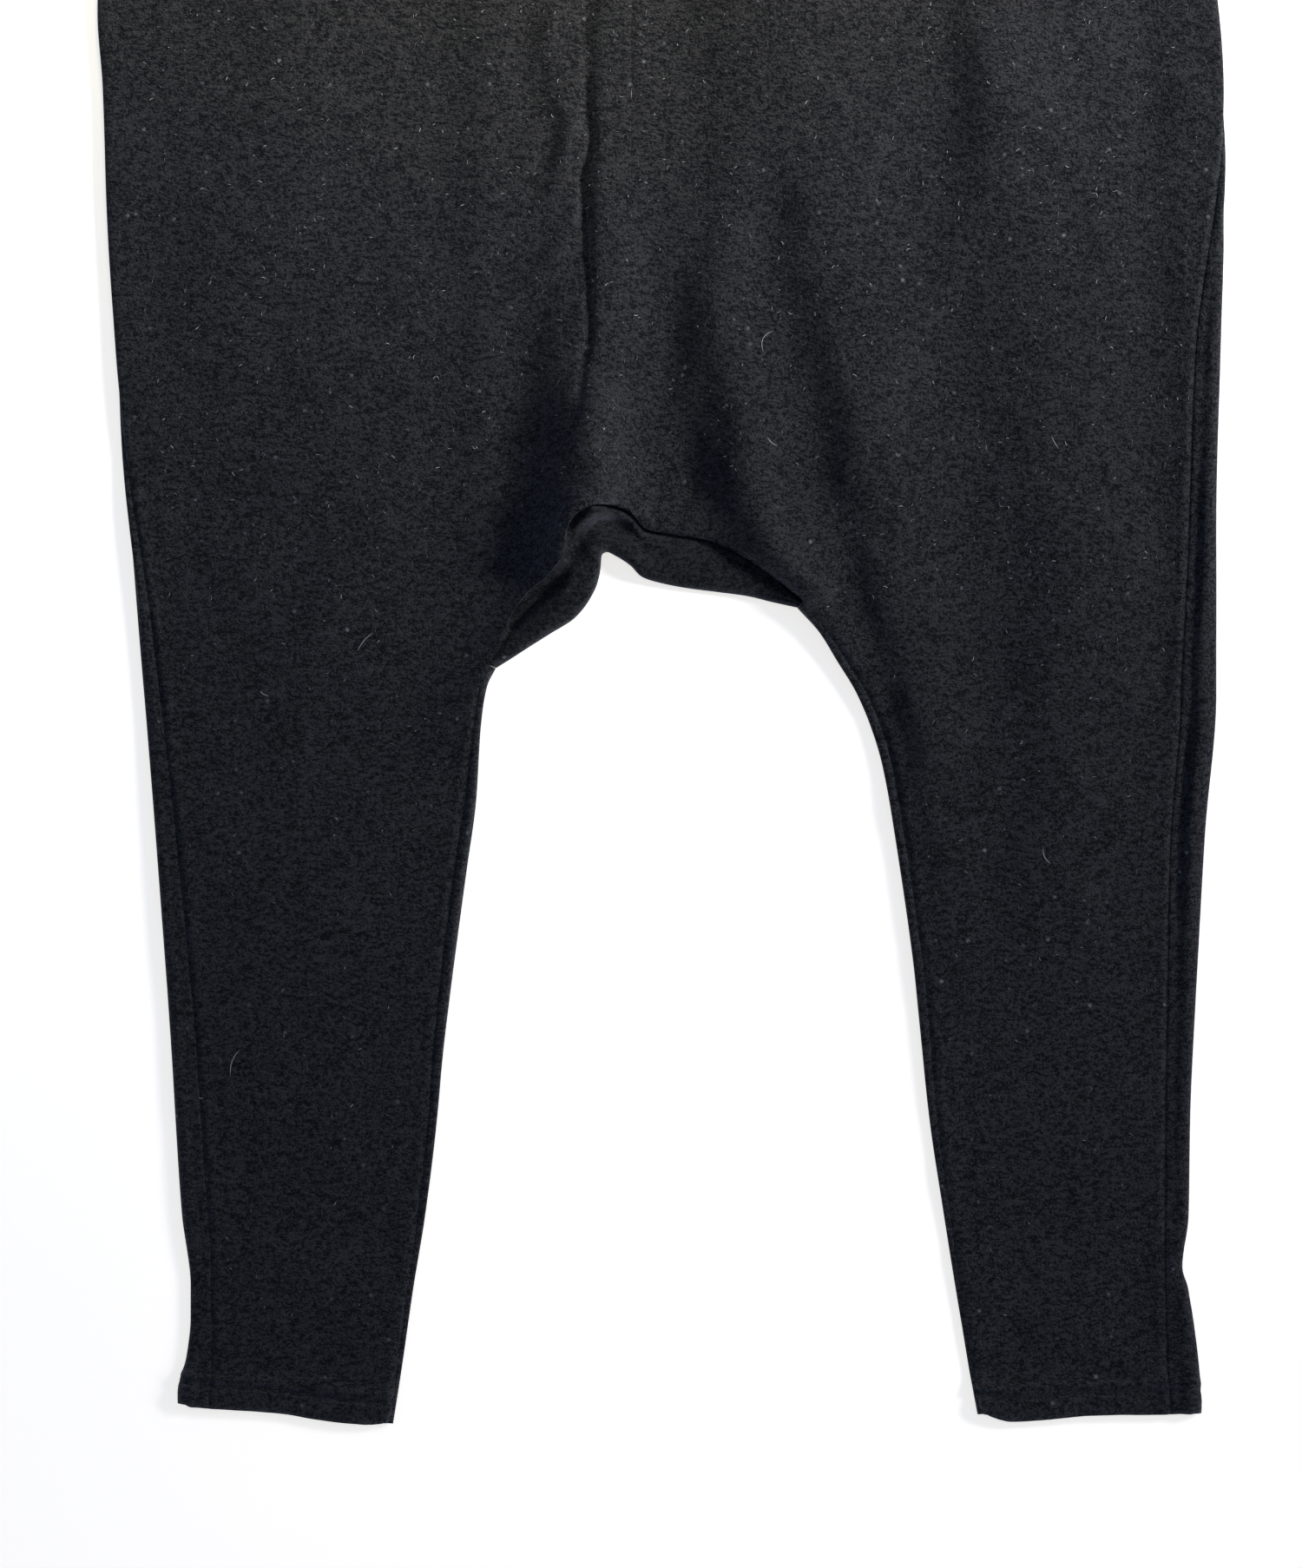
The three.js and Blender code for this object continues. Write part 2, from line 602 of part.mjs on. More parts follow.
// One turn round the waistband, seen along Y: outer and inner face at each place. It runs over
// the gathered front, round the left end, back under and round the right end.
function bandSection() {
  const left = SIDE[LEFT][0].x;
  const right = SIDE[RIGHT][0].x;
  const height = 2 * BAND_WALL + LAYER_GAP + BAND_RISE;
  const nose = height / 2;
  const width = left - right - 2 * nose;
  const section = [];
  for (let i = 0; i <= BAND_POINTS; i += 1) {
    const t = i / BAND_POINTS;
    const calm = ease(t / BAND_CALM) * ease((1 - t) / BAND_CALM);
    const wave = BAND_RISE * calm * Math.sin(t * BAND_GATHERS * 2 * Math.PI);
    const x = right + nose + width * t;
    section.push({ x, z: height + wave, inX: x, inZ: height - BAND_WALL, high: 1 });
  }
  const turn = (centre, from) => {
    for (let i = 1; i < BAND_END_POINTS; i += 1) {
      const angle = from - (Math.PI * i) / BAND_END_POINTS;
      section.push({
        x: centre + nose * Math.cos(angle),
        z: nose + nose * Math.sin(angle),
        inX: centre + (nose - BAND_WALL) * Math.cos(angle),
        inZ: nose + (nose - BAND_WALL) * Math.sin(angle),
        high: (1 + Math.sin(angle)) / 2,
      });
    }
  };
  turn(left - nose, Math.PI / 2);
  for (let i = 0; i <= BAND_BACK_POINTS; i += 1) {
    const x = left - nose - width * (i / BAND_BACK_POINTS);
    section.push({ x, z: 0, inX: x, inZ: BAND_WALL, high: 0 });
  }
  turn(right + nose, -Math.PI / 2);
  return section;
}

// The waistband: a flattened ring of double cloth, with its back standing above its front.
function waistband() {
  const section = bandSection();
  const grid = BAND_LEVELS.map(({ level, thinner }) => {
    const line = section.map((p) => {
      const y = mix(WAIST_SEAM, WAIST_TOP - BAND_BACK_RISE * p.high, level);
      const outer = new THREE.Vector3(p.x, y, p.z - thinner * p.high);
      return { outer, inner: new THREE.Vector3(p.inX, y, p.inZ) };
    });
    return [...line, line[0]];
  });
  return wall(grid, true);
}

const knit = { color: new THREE.Color(0.03, 0.03, 0.035), roughness: 1, metalness: 0 };

function piece(name, geometry) {
  const mesh = new THREE.Mesh(geometry, new THREE.MeshStandardMaterial(knit));
  mesh.name = name;
  return mesh;
}

const pants = new THREE.Group();
pants.add(
  piece("front_left", frontPanel(LEFT)),
  piece("front_right", frontPanel(RIGHT)),
  piece("back_left", backPanel(LEFT)),
  piece("back_right", backPanel(RIGHT)),
  piece("crotch_gusset", crotchGusset()),
  piece("waistband", waistband()),
);

export default pants;
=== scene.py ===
# Harem pants in black brushed knit, laid out flat with the front up, as a thin cloth shell for
# each sewn piece. Lengths are in millimetres until a mesh is made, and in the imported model's
# frame: +X is the wearer's left, +Y points to the waist and +Z up off the table.

import math
from types import SimpleNamespace

import bpy
import numpy as np
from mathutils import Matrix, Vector


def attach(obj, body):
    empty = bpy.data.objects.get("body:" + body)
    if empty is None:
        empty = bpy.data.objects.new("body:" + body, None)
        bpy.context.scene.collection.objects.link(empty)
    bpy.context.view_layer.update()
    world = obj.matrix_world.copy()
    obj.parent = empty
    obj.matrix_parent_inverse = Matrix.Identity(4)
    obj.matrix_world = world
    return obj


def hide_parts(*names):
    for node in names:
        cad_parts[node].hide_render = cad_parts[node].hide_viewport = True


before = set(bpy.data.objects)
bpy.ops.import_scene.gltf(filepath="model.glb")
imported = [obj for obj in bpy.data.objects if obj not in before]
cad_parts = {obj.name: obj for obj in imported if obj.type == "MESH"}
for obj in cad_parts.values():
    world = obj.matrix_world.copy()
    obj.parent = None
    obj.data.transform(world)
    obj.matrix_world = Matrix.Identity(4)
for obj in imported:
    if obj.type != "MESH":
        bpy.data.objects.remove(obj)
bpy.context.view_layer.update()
scene = bpy.context.scene

MM = 0.001

# The cloth and how it lies
CLOTH = 2.0  # thickness of the brushed knit
SEAM_GAP = 0.12  # between two pieces at a seam
LAYER_GAP = 1.0  # air between two layers that lie on each other
FLAT = 2 * CLOTH + LAYER_GAP  # height of front and back laid flat
FOLD_NOSE = 4.5  # how far the rounded nose of a fold reaches in from its edge
SIDE_CALM = 50.0  # how far in from the side folds the long folds reach their height
WRINKLE_CALM = 14.0  # the same for the wrinkles
GATHER_CALM = 15.0  # and for the gathers
THINNEST = 0.4  # the least that a wall is thick
LEG_START = 18.0  # how far down the leg its inner fold reaches its full relief
LEFT = 1  # the wearer's left half
RIGHT = -1

# The hems at the ankles
HEM_DEPTH = 12.0  # width of the turned-up hem
HEM_ROW = 11.0  # how far above the edge its stitches are
HEM_EXTRA = 1.1  # what the turned-up layer adds to the wall
HEM_BLEND = 45.0  # how far up the leg the hem's uneven line is felt
HEM_STEP = 9.0  # how far above the turned-up hem the front starts to rise

# The waistband, and the gathers that it makes in the panels
WAIST_TOP = 480.7  # top edge of the waistband
BAND_HEIGHT = 40.0
BAND_WALL = 3.2
BAND_RISE = 0.9  # how high its small gathers stand
BAND_WAVES = 22  # how many of them there are
BAND_STEPS = 16  # points along each
BAND_BACK_RISE = 6.0  # how much lower its front's edge is than its back's
BAND_RIM = 2.5  # how far in from its edges it is rounded
BAND_ROUND = 0.9  # and how much lower that makes them
WAIST_SEAM = WAIST_TOP - BAND_HEIGHT
GATHERS = 11  # in the front
GATHER_RISE = 3.2
GATHER_LENGTH = 130.0  # how far down they run
BACK_CROTCH_RISE = 7.6  # how much higher the backs end at the crotch than the fronts
BACK_RISE_FROM = 242.0  # where that begins
BACK_RISE_LENGTH = 259.6  # the stretch on which it grows

# The gusset at the crotch
GUSSET_SEAM = 0.6  # between it and the backs
GUSSET_END = 0.02  # how far its ends stay off the first and last row of its table
GUSSET_BULGE = 1.4  # how far its left part stands up between its edges
GUSSET_COLUMNS = 24
GUSSET_STEPS = 8  # from each row of its table to the next
GUSSET_LOWEST = 2 * CLOTH + 0.7  # how low its upper layer may lie over its lower one
TUCK_PROBE = 3.0  # how far around a place the front's underside is felt for
TUCK_CLEAR = 0.4  # how far below it the tucked edge stays

# Seams and edges
SEAM_DRAW = 0.7  # how deep a seam draws the cloth in
SEAM_PUFF = 0.4  # how high the cloth stands beside it
EDGE_THIN = 0.25  # how much of the cloth's thickness is left at the front's free crotch edge
EDGE_STITCH = 9.0  # the stitched line above the crotch edge
STRIP_HOLLOW = 2.0  # how deep the strip outside a side seam is beside the seam
STRIP_ROLL = 1.7  # how high it rolls up to the fold

# The camera's view
FRAME_HEIGHT = 794.6  # what the frame shows at the garment's height, top to bottom
FRAME_CENTRE = (-5.3, -155.8)
CAMERA_HEIGHT = 2200.0
SENSOR = 36.0
TABLE_TOP = -0.0002  # just under the garment, in metres

# What no fold explains: the size, height and seed of each layer of unevenness.
UNEVEN = ((46, 0.8, 5), (21, 0.5, 6), (9, 0.22, 7), (4.4, 0.09, 8))
# How the folds wander: the size, shift and seed of each layer.
WANDER = ((52, 3.2, 31), (19, 1.5, 32))
# The turned-up hem: the ridge over its edge, the groove of its stitches and the swell of its
# layer, each with its height, its place above the hem's edge and its width.
HEM_RELIEF = ((1.1, HEM_DEPTH + 2.6, 1.7), (-1.6, HEM_ROW, 1.3), (0.9, 6, 2.8))


def table(columns, *rows):
    """The columns of a table by name."""
    return {name: np.array([row[i] for row in rows]) for i, name in enumerate(columns.split())}


# The side folds, from the waist seam to the hem: x is the outer edge of the cloth, and seam is
# how far the side seam lies from it along the cloth, on the front where it is positive.
SIDE = {
    LEFT: [
        [441, 180, -2],
        [415, 208, -2],
        [380, 235, -2],
        [330, 260, -2],
        [270, 278, -2],
        [200, 285.4, -1],
        [150, 286, 5],
        [66, 283.8, 15],
        [-22, 281.6, 16],
        [-110, 281.6, 20],
        [-181, 275.9, 19],
        [-251, 271.9, 16.5],
        [-322, 268.4, 14],
        [-374, 267.5, 13.5],
        [-401, 264.4, 10.5],
        [-412, 267.3, 13],
        [-462, 273.7, 18],
        [-472, 274, 18],
    ],
    RIGHT: [
        [441, -204, -2],
        [415, -228, -2],
        [380, -252, -2],
        [330, -273, -2],
        [270, -285, -2],
        [235, -286, -2],
        [198, -283.4, -2],
        [132, -281.2, -2],
        [66, -277.2, -1],
        [-1, -272.4, 4],
        [-66, -266.6, 8.5],
        [-130, -260.9, 10.5],
        [-198, -255.4, 12.5],
        [-286, -249, 14],
        [-374, -243.3, 14.5],
        [-410, -238.9, 11.5],
        [-427, -238.9, 12],
        [-445, -241.1, 14],
        [-459, -245.1, 18],
        [-467, -245.5, 18],
    ],
}
SIDE = {half: table("y x seam", *rows) for half, rows in SIDE.items()}

# The inner folds of the legs, from the ends of the gusset to the hem, in the same way.
INSIDE = {
    LEFT: [
        [-66.4, 68.6, 6],
        [-79.6, 80.1, 6],
        [-93, 88.4, 6],
        [-110, 98.6, 6.2],
        [-128, 106, 6.4],
        [-146, 111.3, 6.5],
        [-181, 117.5, 6.5],
        [-251, 127.6, 6.5],
        [-322, 135.5, 5],
        [-374, 143.4, 4],
        [-445, 155.3, 3],
        [-472, 160.6, 3],
    ],
    RIGHT: [
        [-97.2, -84, 6],
        [-106, -88, 6.5],
        [-128, -91.1, 7],
        [-163, -93.3, 7.5],
        [-198, -98.1, 8],
        [-234, -103, 8],
        [-286, -109.6, 7],
        [-322, -113.1, 6],
        [-374, -119.7, 5],
        [-410, -125.8, 4],
        [-445, -131.1, 3.5],
        [-477, -136.4, 3],
    ],
}
INSIDE = {half: table("y x seam", *rows) for half, rows in INSIDE.items()}

# How far each hem dips below a straight line, across the leg from its inner fold to its side.
HEM_DIP = {
    LEFT: [[0, 0], [0.06, 4.6], [0.15, 7], [0.28, 6.2], [0.5, 3.8], [0.95, 3], [1, 0]],
    RIGHT: [[0, 0], [0.05, 3.4], [0.14, 4.8], [0.3, 4.6], [0.55, 3], [0.93, 3.8], [1, 0]],
}
HEM_DIP = {half: table("across dip", *rows) for half, rows in HEM_DIP.items()}

# The centre seams of front and back, from the waist seam to the crotch.
CENTRE = table("y x", [441, -12], [242, -15], [-17.6, -16])

# The crotch, from the left leg to the right: the lower edge of the fronts, the outer edge of
# the gusset band and its seam with the backs under it.
CROTCH = table(
    "at frontX frontY edgeX edgeY backX backY",
    [0, 72.6, -64.9, 68.6, -66.4, 81.8, -61.7],
    [1, 62.9, -57, 56, -63.6, 66, -47],
    [2, 51.9, -48.8, 43, -60.5, 50, -40],
    [3, 36.5, -38.7, 28, -58.5, 33, -35],
    [4, 21.1, -32.1, 14, -56.7, 17, -30],
    [5, 5, -29.6, 1, -54.3, 4, -27],
    [6, -7.5, -27, -9.7, -51, -7, -22],
    [7, -12.5, -21.5, -16, -45, -13, -14],
    [8, -16, -17.6, -22.9, -40.5, -18, -10],
    [9, -24, -15.4, -27.5, -38.4, -27, -8],
    [10, -33, -15.4, -30.2, -40, -36, -10],
    [11, -42, -19.2, -30.9, -47, -46, -18],
    [12, -47.8, -28, -32.4, -54, -54, -30],
    [13, -49.6, -40.5, -36.5, -62.5, -59, -42],
    [14, -57, -50.5, -44, -71.8, -65, -52],
    [15, -67, -58.5, -56.5, -79.8, -73, -60],
    [16, -75, -68.5, -67, -86.4, -82, -70],
    [17, -80.5, -81, -76, -92.2, -90, -81],
    [18, -87.9, -95.4, -84, -97.2, -96.7, -91.3],
)
# The rise and fall of the gusset at the same places: how far it is tucked under the front, the
# height of its fold, how fast it gets there from the front's edge, how much lower than the
# front it starts, the height of the lip beside the seam, and the depth and place of the hollow
# between the lip and the fold.
GUSSET = table(
    "at tuck roll fall sink lip hollow hollowAt",
    [0, -0.4, 8, 1, 0, 0, 0, 0.5],
    [1, -0.4, 7.5, 1, 0, 0, 0.5, 0.3],
    [2, 2.5, 7.5, 5, 1.5, 0, 1, 0.3],
    [3, 2.5, 7.5, 6, 1.5, 0, 1, 0.3],
    [4, 2.5, 7.5, 4, 1, 0, 0.5, 0.3],
    [5, 2.5, 8, 2, 2, 1, 0, 0.5],
    [6, 2.5, 10, 1, 3, 3, 0, 0.6],
    [7, 2.5, 11, 1, 4, 4.5, 0.5, 0.7],
    [8, 2.5, 11.5, 1, 4.5, 5.5, 1.5, 0.7],
    [9, 2.5, 12, 1, 5, 6, 3, 0.65],
    [10, 2.5, 13, 1, 5, 6, 4.5, 0.6],
    [11, 2.5, 13, 1, 5, 4.5, 5, 0.5],
    [12, 2.5, 12, 1.2, 5, 2, 4.5, 0.4],
    [13, 2.5, 11, 1.5, 4, 0, 4, 0.3],
    [14, 2.5, 10.5, 1.5, 4, 0, 4, 0.3],
    [15, 2.5, 10, 1.5, 4, 0, 4, 0.3],
    [16, 2.5, 9, 1.5, 3.5, 0, 3, 0.3],
    [17, -0.4, 8.5, 1, 0, 0, 1, 0.3],
    [18, -0.4, 8, 1, 0, 0, 0, 0.3],
)
CROTCH_CENTRE = 8  # the row of that table where the centre seams end

# The rows of each half, from waist to hem. Inner is a y on the centre seam, a place in the
# crotch table or a y on the leg's inner fold; side is the y where the row meets the side fold.
ROWS = {
    LEFT: {
        "centre": [[440.4, 440.4, 40], [330, 345, 44], [200, 240, 44], [80, 155, 36], [-17.6, 92, 0]],
        "crotch": [[8, 92, 24], [4, 46, 24], [0, 10, 0]],
        "leg": [
            [-66.4, 10, 20],
            [-110, -60, 32],
            [-181, -155, 38],
            [-286, -280, 42],
            [-401, -401, 5],
            [-412, -412, 16],
            [-448, -448, 36],
            [-472, -472, 0],
        ],
    },
    RIGHT: {
        "centre": [[440.4, 440.4, 40], [330, 345, 44], [200, 240, 44], [80, 160, 36], [-17.6, 100, 0]],
        "crotch": [[8, 100, 30], [13, 40, 30], [18, -10, 0]],
        "leg": [
            [-97.2, -10, 18],
            [-130, -75, 28],
            [-198, -165, 36],
            [-290, -280, 38],
            [-395, -390, 12],
            [-425, -420, 12],
            [-453, -443, 36],
            [-477, -467, 0],
        ],
    },
}
ROWS = {
    half: {zone: table("inner side steps", *rows) for zone, rows in zones.items()}
    for half, zones in ROWS.items()
}

# The long folds of the front, which run down from the waist. Each row is a place on the fold's
# crest: how high it stands there, and its half widths towards -X and +X.
FOLDS = {
    "centre ridge": [
        [330, -20, 0, 12, 14],
        [242, -28, 2.2, 5, 17],
        [202, -29, 2.6, 5, 17],
        [149, -29, 3.4, 5.5, 17],
        [96, -30, 6.4, 11, 17],
        [70, -32, 11, 19, 18],
        [44, -34, 15, 23, 18],
        [17, -34, 18, 25, 18],
        [-9, -33, 17, 28, 17],
        [-30, -33, 12, 32, 16],
        [-55, -35, 6.5, 34, 15],
        [-85, -36, 0, 30, 14],
    ],
    "crease beside it": [
        [260, -38, 0, 3, 3],
        [215, -36, -1.4, 2.6, 2.4],
        [165, -35, -2.6, 2.4, 2],
        [149, -38, -3.2, 2.2, 1.8],
        [110, -36, -3.2, 2.2, 1.8],
        [70, -36, -2.6, 2.4, 2],
        [44, -40, -1.6, 3, 2.6],
        [10, -44, 0, 4, 3],
    ],
    "tucks beside the crease": [
        [260, -52, 0, 8, 8],
        [215, -51, 2.4, 9, 11],
        [176, -50, 2.6, 9, 11],
        [149, -51, 2.6, 9, 12],
        [96, -51, 2.8, 10, 12],
        [60, -52, 2.6, 12, 12],
        [30, -54, 0, 14, 8],
    ],
    "second right fold": [
        [330, -94, 1, 12, 20],
        [228, -91, 3.2, 13, 18],
        [150, -91, 2.2, 13, 20],
        [80, -92, 1.8, 13, 18],
        [17, -90, 2.6, 14, 14],
        [-30, -96, 2.4, 16, 14],
        [-80, -106, 0, 16, 16],
    ],
    "rise from the seam": [
        [180, 40, 0, 30, 20],
        [123, 36, 1.5, 34, 20],
        [96, 40, 3, 36, 30],
        [44, 46, 5, 38, 34],
        [17, 54, 6, 40, 34],
        [-9, 64, 7, 42, 28],
        [-35, 74, 7, 38, 18],
        [-60, 86, 5, 28, 13],
        [-95, 97, 1.5, 14, 10],
        [-120, 104, 0, 10, 10],
    ],
    "crest of that rise": [
        [300, 50, 0, 22, 20],
        [260, 50, 3, 24, 20],
        [228, 48, 4.4, 24, 18],
        [176, 45, 3.8, 22, 16],
        [140, 34, 3.4, 17, 18],
        [123, 28, 4.2, 14, 20],
        [96, 29, 4.5, 14, 22],
        [70, 29, 5, 14, 20],
        [44, 35, 5.4, 15, 18],
        [17, 38, 6.5, 15, 17],
        [-9, 41, 8, 16, 17],
        [-31, 52, 8.5, 17, 14],
        [-48, 66, 7, 15, 12],
        [-70, 84, 3, 10, 10],
        [-95, 95, 0, 9, 10],
    ],
    "first left fold": [
        [400, 60, 0, 20, 40],
        [260, 74, 4.5, 19, 46],
        [228, 75, 5, 18, 48],
        [190, 74, 5, 18, 44],
        [150, 76, 6, 18, 38],
        [123, 79, 7, 17, 38],
        [96, 84, 8, 17, 38],
        [70, 87, 8.5, 17, 40],
        [44, 94, 8.5, 17, 40],
        [17, 99, 9, 17, 40],
        [-12, 107, 9.5, 18, 36],
        [-35, 112, 9, 17, 34],
        [-60, 117, 8.5, 15, 30],
        [-84, 124, 7.5, 14, 28],
        [-120, 131, 6, 12, 24],
        [-165, 138, 3.5, 12, 22],
        [-215, 148, 1.5, 12, 22],
        [-300, 160, 0, 12, 22],
    ],
    "left thigh": [
        [400, 150, 0, 22, 44],
        [260, 162, 6, 17, 44],
        [215, 163, 8.5, 16, 42],
        [176, 170, 7.5, 18, 42],
        [149, 175, 5, 22, 42],
        [110, 182, 4.8, 24, 40],
        [44, 193, 4.8, 25, 38],
        [-9, 195, 4.8, 25, 36],
        [-31, 204, 5, 25, 32],
        [-58, 207, 4.6, 25, 30],
        [-110, 198, 4.4, 24, 32],
        [-154, 200, 3.6, 22, 30],
        [-200, 196, 2.4, 22, 30],
        [-300, 206, 1.2, 26, 30],
        [-440, 216, 0, 26, 30],
    ],
    "dip at the left side": [
        [300, 246, 0, 16, 8],
        [242, 248, -1.5, 16, 8],
        [150, 250, -2.4, 16, 10],
        [60, 252, -3, 15, 10],
        [0, 253, -2.6, 13, 10],
        [-100, 255, -1.4, 10, 7],
        [-180, 256, 0, 10, 6],
    ],
    "right thigh": [
        [400, -185, 0, 55, 60],
        [242, -182, 2.6, 55, 60],
        [60, -176, 3.4, 55, 60],
        [-60, -178, 3, 50, 55],
        [-150, -176, 2, 45, 42],
        [-440, -178, 0, 40, 36],
    ],
}
FOLDS = {name: table("y x high minusX plusX", *rows) for name, rows in FOLDS.items()}

# The short folds and wrinkles: where each is, the way it runs in degrees from +X, its length
# and width, and how high it stands, or how deep it is where that is negative.
WRINKLES = (
    [-47, 172, 80, 13, 4.5, 3.4],
    [-57, 143, 40, 13, 3.6, 2.8],
    [-62, 128, 30, 15, 3.8, 2.8],
    [-56, 112, 25, 16, 3.6, 2.5],
    [-65, 99, 30, 16, 4.5, 2],
    [-45, 131, 70, 13, 4.2, 2.4],
    [-69, 160, 60, 18, 6, 2],
    [-41, 206, 75, 14, 4, 2.2],
    [-58, 224, 65, 20, 5, 2.4],
    [-52, 188, 20, 12, 4, 2],
    [-78, 84, 50, 20, 6, 1.4],
    [4, 60, 84, 34, 10, -2.6],
    [22, 116, 76, 26, 10, -2.2],
    [14, 12, 100, 24, 9, -1.4],
    [70, 160, 70, 34, 8, -1.2],
    [120, 196, 62, 46, 9, 1.2],
    [152, 120, 68, 50, 10, 1.1],
    [214, 150, 74, 44, 9, -1],
    [-130, 120, 112, 60, 12, 1],
    [-196, 60, 96, 60, 12, -1],
    [-150, -40, 66, 60, 14, 1],
    [-150, -362, 8, 46, 7, 1.2],
    [-165, -408, -6, 50, 8, 1.1],
    [-205, -436, 38, 26, 8, 1.1],
    [-130, -380, -20, 22, 6, 0.8],
    [212, -216, -48, 30, 9, 1.1],
    [172, -100, 20, 22, 9, -1.2],
    [175, -181, 70, 30, 9, -1],
    [153, -374, 80, 26, 9, -1],
    [172, -436, 60, 24, 9, -1.2],
    [190, -428, -25, 40, 8, 1.2],
    [242, -426, 80, 24, 8, -1.3],
    [230, -442, -30, 30, 8, 1.1],
)

# The folds of the front along the crotch, from the left leg to the right, each a soft ridge along
# a bent line: its three points with their heights, and its half widths towards -X and +X.
RIDGES = (
    ([(-14, -21, 3), (24, -26, 5), (68, -60, 5)], 14, 14),
    ([(-50, -44, 6), (-46, -8, 3), (-14, -18, 2)], 12, 12),
    ([(-43, -30, 6), (-58, -60, 12), (-92, -130, 4)], 22, 13),
)
RIDGE_STEPS = 48  # points along a ridge's line that the distance is measured to

# Where the columns of the cloth lie.
FRONT_REACH = 24.0  # from the side fold to the front's plain middle
INNER_REACH = 14.0  # the same from its inner edge, and from every fold of a back
FOLD_COLUMNS = 22
FRONT_COLUMNS = 82
INNER_COLUMNS = 14
BACK_COLUMNS = 60
BACK_FOLD_COLUMNS = 22

# Loose fibres on the cloth and the thread of the hems.
LINT_COUNT = 2000
LINT_SPREAD = (280, -455, 430)  # where they fall: half the width, the lowest and highest y
LINT_ON_LEGS = 0.25  # how thickly they lie low on the legs, as a share of that on the hips
LINT_MARGIN = 14  # how far they stay from the folds
LINT_RISE = 0.35  # how far above the front they lie
HAIR_WIDTH = 0.34
STITCH_PITCH = 3.4
STITCH_LENGTH = 2.4
THREAD = 0.45  # its width
# The long pale fibres: where each lies, which way, its length and how much it is bowed.
HAIRS = (
    [54, 68, 65, 12, 0.5],
    [56, 17, 140, 7, 0.2],
    [199, 17, 120, 7, 0.1],
    [-150, -84, 50, 12, 0.15],
    [-201, -110, 150, 5, 0.2],
    [-216, -297, 70, 14, 0.25],
    [195, -192, 115, 9, 0.3],
    [-213, 56, 30, 2.4, 0.1],
)


def ease(t):
    """A smooth step from 0 to 1 as t goes from 0 to 1."""
    s = np.clip(t, 0, 1)
    return s * s * (3 - 2 * s)


def bell(away, width):
    """A soft bump: 1 where away is 0, and next to nothing past two widths."""
    return np.exp(-((away / width) ** 2))


def read(rows, key, column, value):
    """One column of a table at values of its key: a smooth curve that never overshoots."""
    k = rows[key].astype(float)
    c = rows[column].astype(float)
    v = np.asarray(value, float)
    if k[0] > k[-1]:
        k = -k
        v = -v
    v = np.clip(v, k[0], k[-1])
    slope = np.diff(c) / np.diff(k)
    product = slope[:-1] * slope[1:]
    total = np.where(slope[:-1] + slope[1:] == 0, 1, slope[:-1] + slope[1:])
    inner = np.where(product > 0, 2 * product / total, 0)
    tangent = np.concatenate([slope[:1], inner, slope[-1:]])
    i = np.clip(np.searchsorted(k, v, side="left") - 1, 0, len(k) - 2)
    span = k[i + 1] - k[i]
    t = (v - k[i]) / span
    return (
        c[i] * (2 * t**3 - 3 * t**2 + 1)
        + tangent[i] * span * (t**3 - 2 * t**2 + t)
        + c[i + 1] * (3 * t**2 - 2 * t**3)
        + tangent[i + 1] * span * (t**3 - t**2)
    )


def ridge_height(x, y, points, minus_x, plus_x):
    """The height of one ridge of the crotch over points of the plan."""
    start, middle, end = np.array(points)[..., None]
    t = np.linspace(0, 1, RIDGE_STEPS + 1)
    s = 1 - t
    px, py, height = s * s * start + 2 * s * t * middle + t * t * end
    ax, ay = px[:-1], py[:-1]
    bx, by = px[1:] - ax, py[1:] - ay
    squared = bx**2 + by**2
    x, y = x[..., None], y[..., None]
    t = np.clip(((x - ax) * bx + (y - ay) * by) / squared, 0, 1)
    dx = x - ax - t * bx
    dy = y - ay - t * by
    nearest = np.argmin(dx * dx + dy * dy, axis=-1)[..., None]
    off = (dx * -by + dy * bx) / np.sqrt(squared)
    past = (dx * bx + dy * by) / np.sqrt(squared)
    high = height[:-1] + t * (height[1:] - height[:-1])
    width = np.where((off > 0) == (by < 0), plus_x, minus_x)
    ridge = high * np.exp(-((off / width) ** 2) - (2 * past / (minus_x + plus_x)) ** 2)
    return np.take_along_axis(ridge, nearest, -1)[..., 0]


def value_noise(x, y, size, seed):
    """Smooth noise from -1 to 1 whose bumps are about size across."""
    lattice = np.random.default_rng(seed).uniform(-1, 1, (64, 64))
    u = x / size + 1000
    v = y / size + 1000
    i = np.floor(u).astype(int)
    j = np.floor(v).astype(int)
    s = u - i
    t = v - j
    s = s * s * s * (s * (6 * s - 15) + 10)
    t = t * t * t * (t * (6 * t - 15) + 10)

    def at(a, b):
        return lattice[a % 64, b % 64]

    low = at(i, j) * (1 - s) + at(i + 1, j) * s
    high = at(i, j + 1) * (1 - s) + at(i + 1, j + 1) * s
    return low * (1 - t) + high * t


def fold_height(fold, seed, x, y):
    """The height of one of the long folds over points of the plan. It comes and goes a little
    along its length."""
    off = x - read(fold, "y", "x", y)
    width = np.where(off > 0, read(fold, "y", "plusX", y), read(fold, "y", "minusX", y))
    there = (y < fold["y"][0]) & (y > fold["y"][-1])
    steady = 1 + 0.3 * value_noise(np.full(y.shape, 97.0 * seed), y, 30, seed)
    return there * read(fold, "y", "high", y) * steady * bell(off, width)


def wrinkle_height(x, y, middle_x, middle_y, turn, long, wide, high):
    """The height of one short wrinkle over points of the plan."""
    turn = math.radians(turn)
    dx, dy = x - middle_x, y - middle_y
    along = (dx * math.cos(turn) + dy * math.sin(turn)) / long
    across = (dy * math.cos(turn) - dx * math.sin(turn)) / wide
    # a slight bow, so that no wrinkle is straight
    across = across - 0.5 * along**2
    return high * np.exp(-(along**2) - across**2)


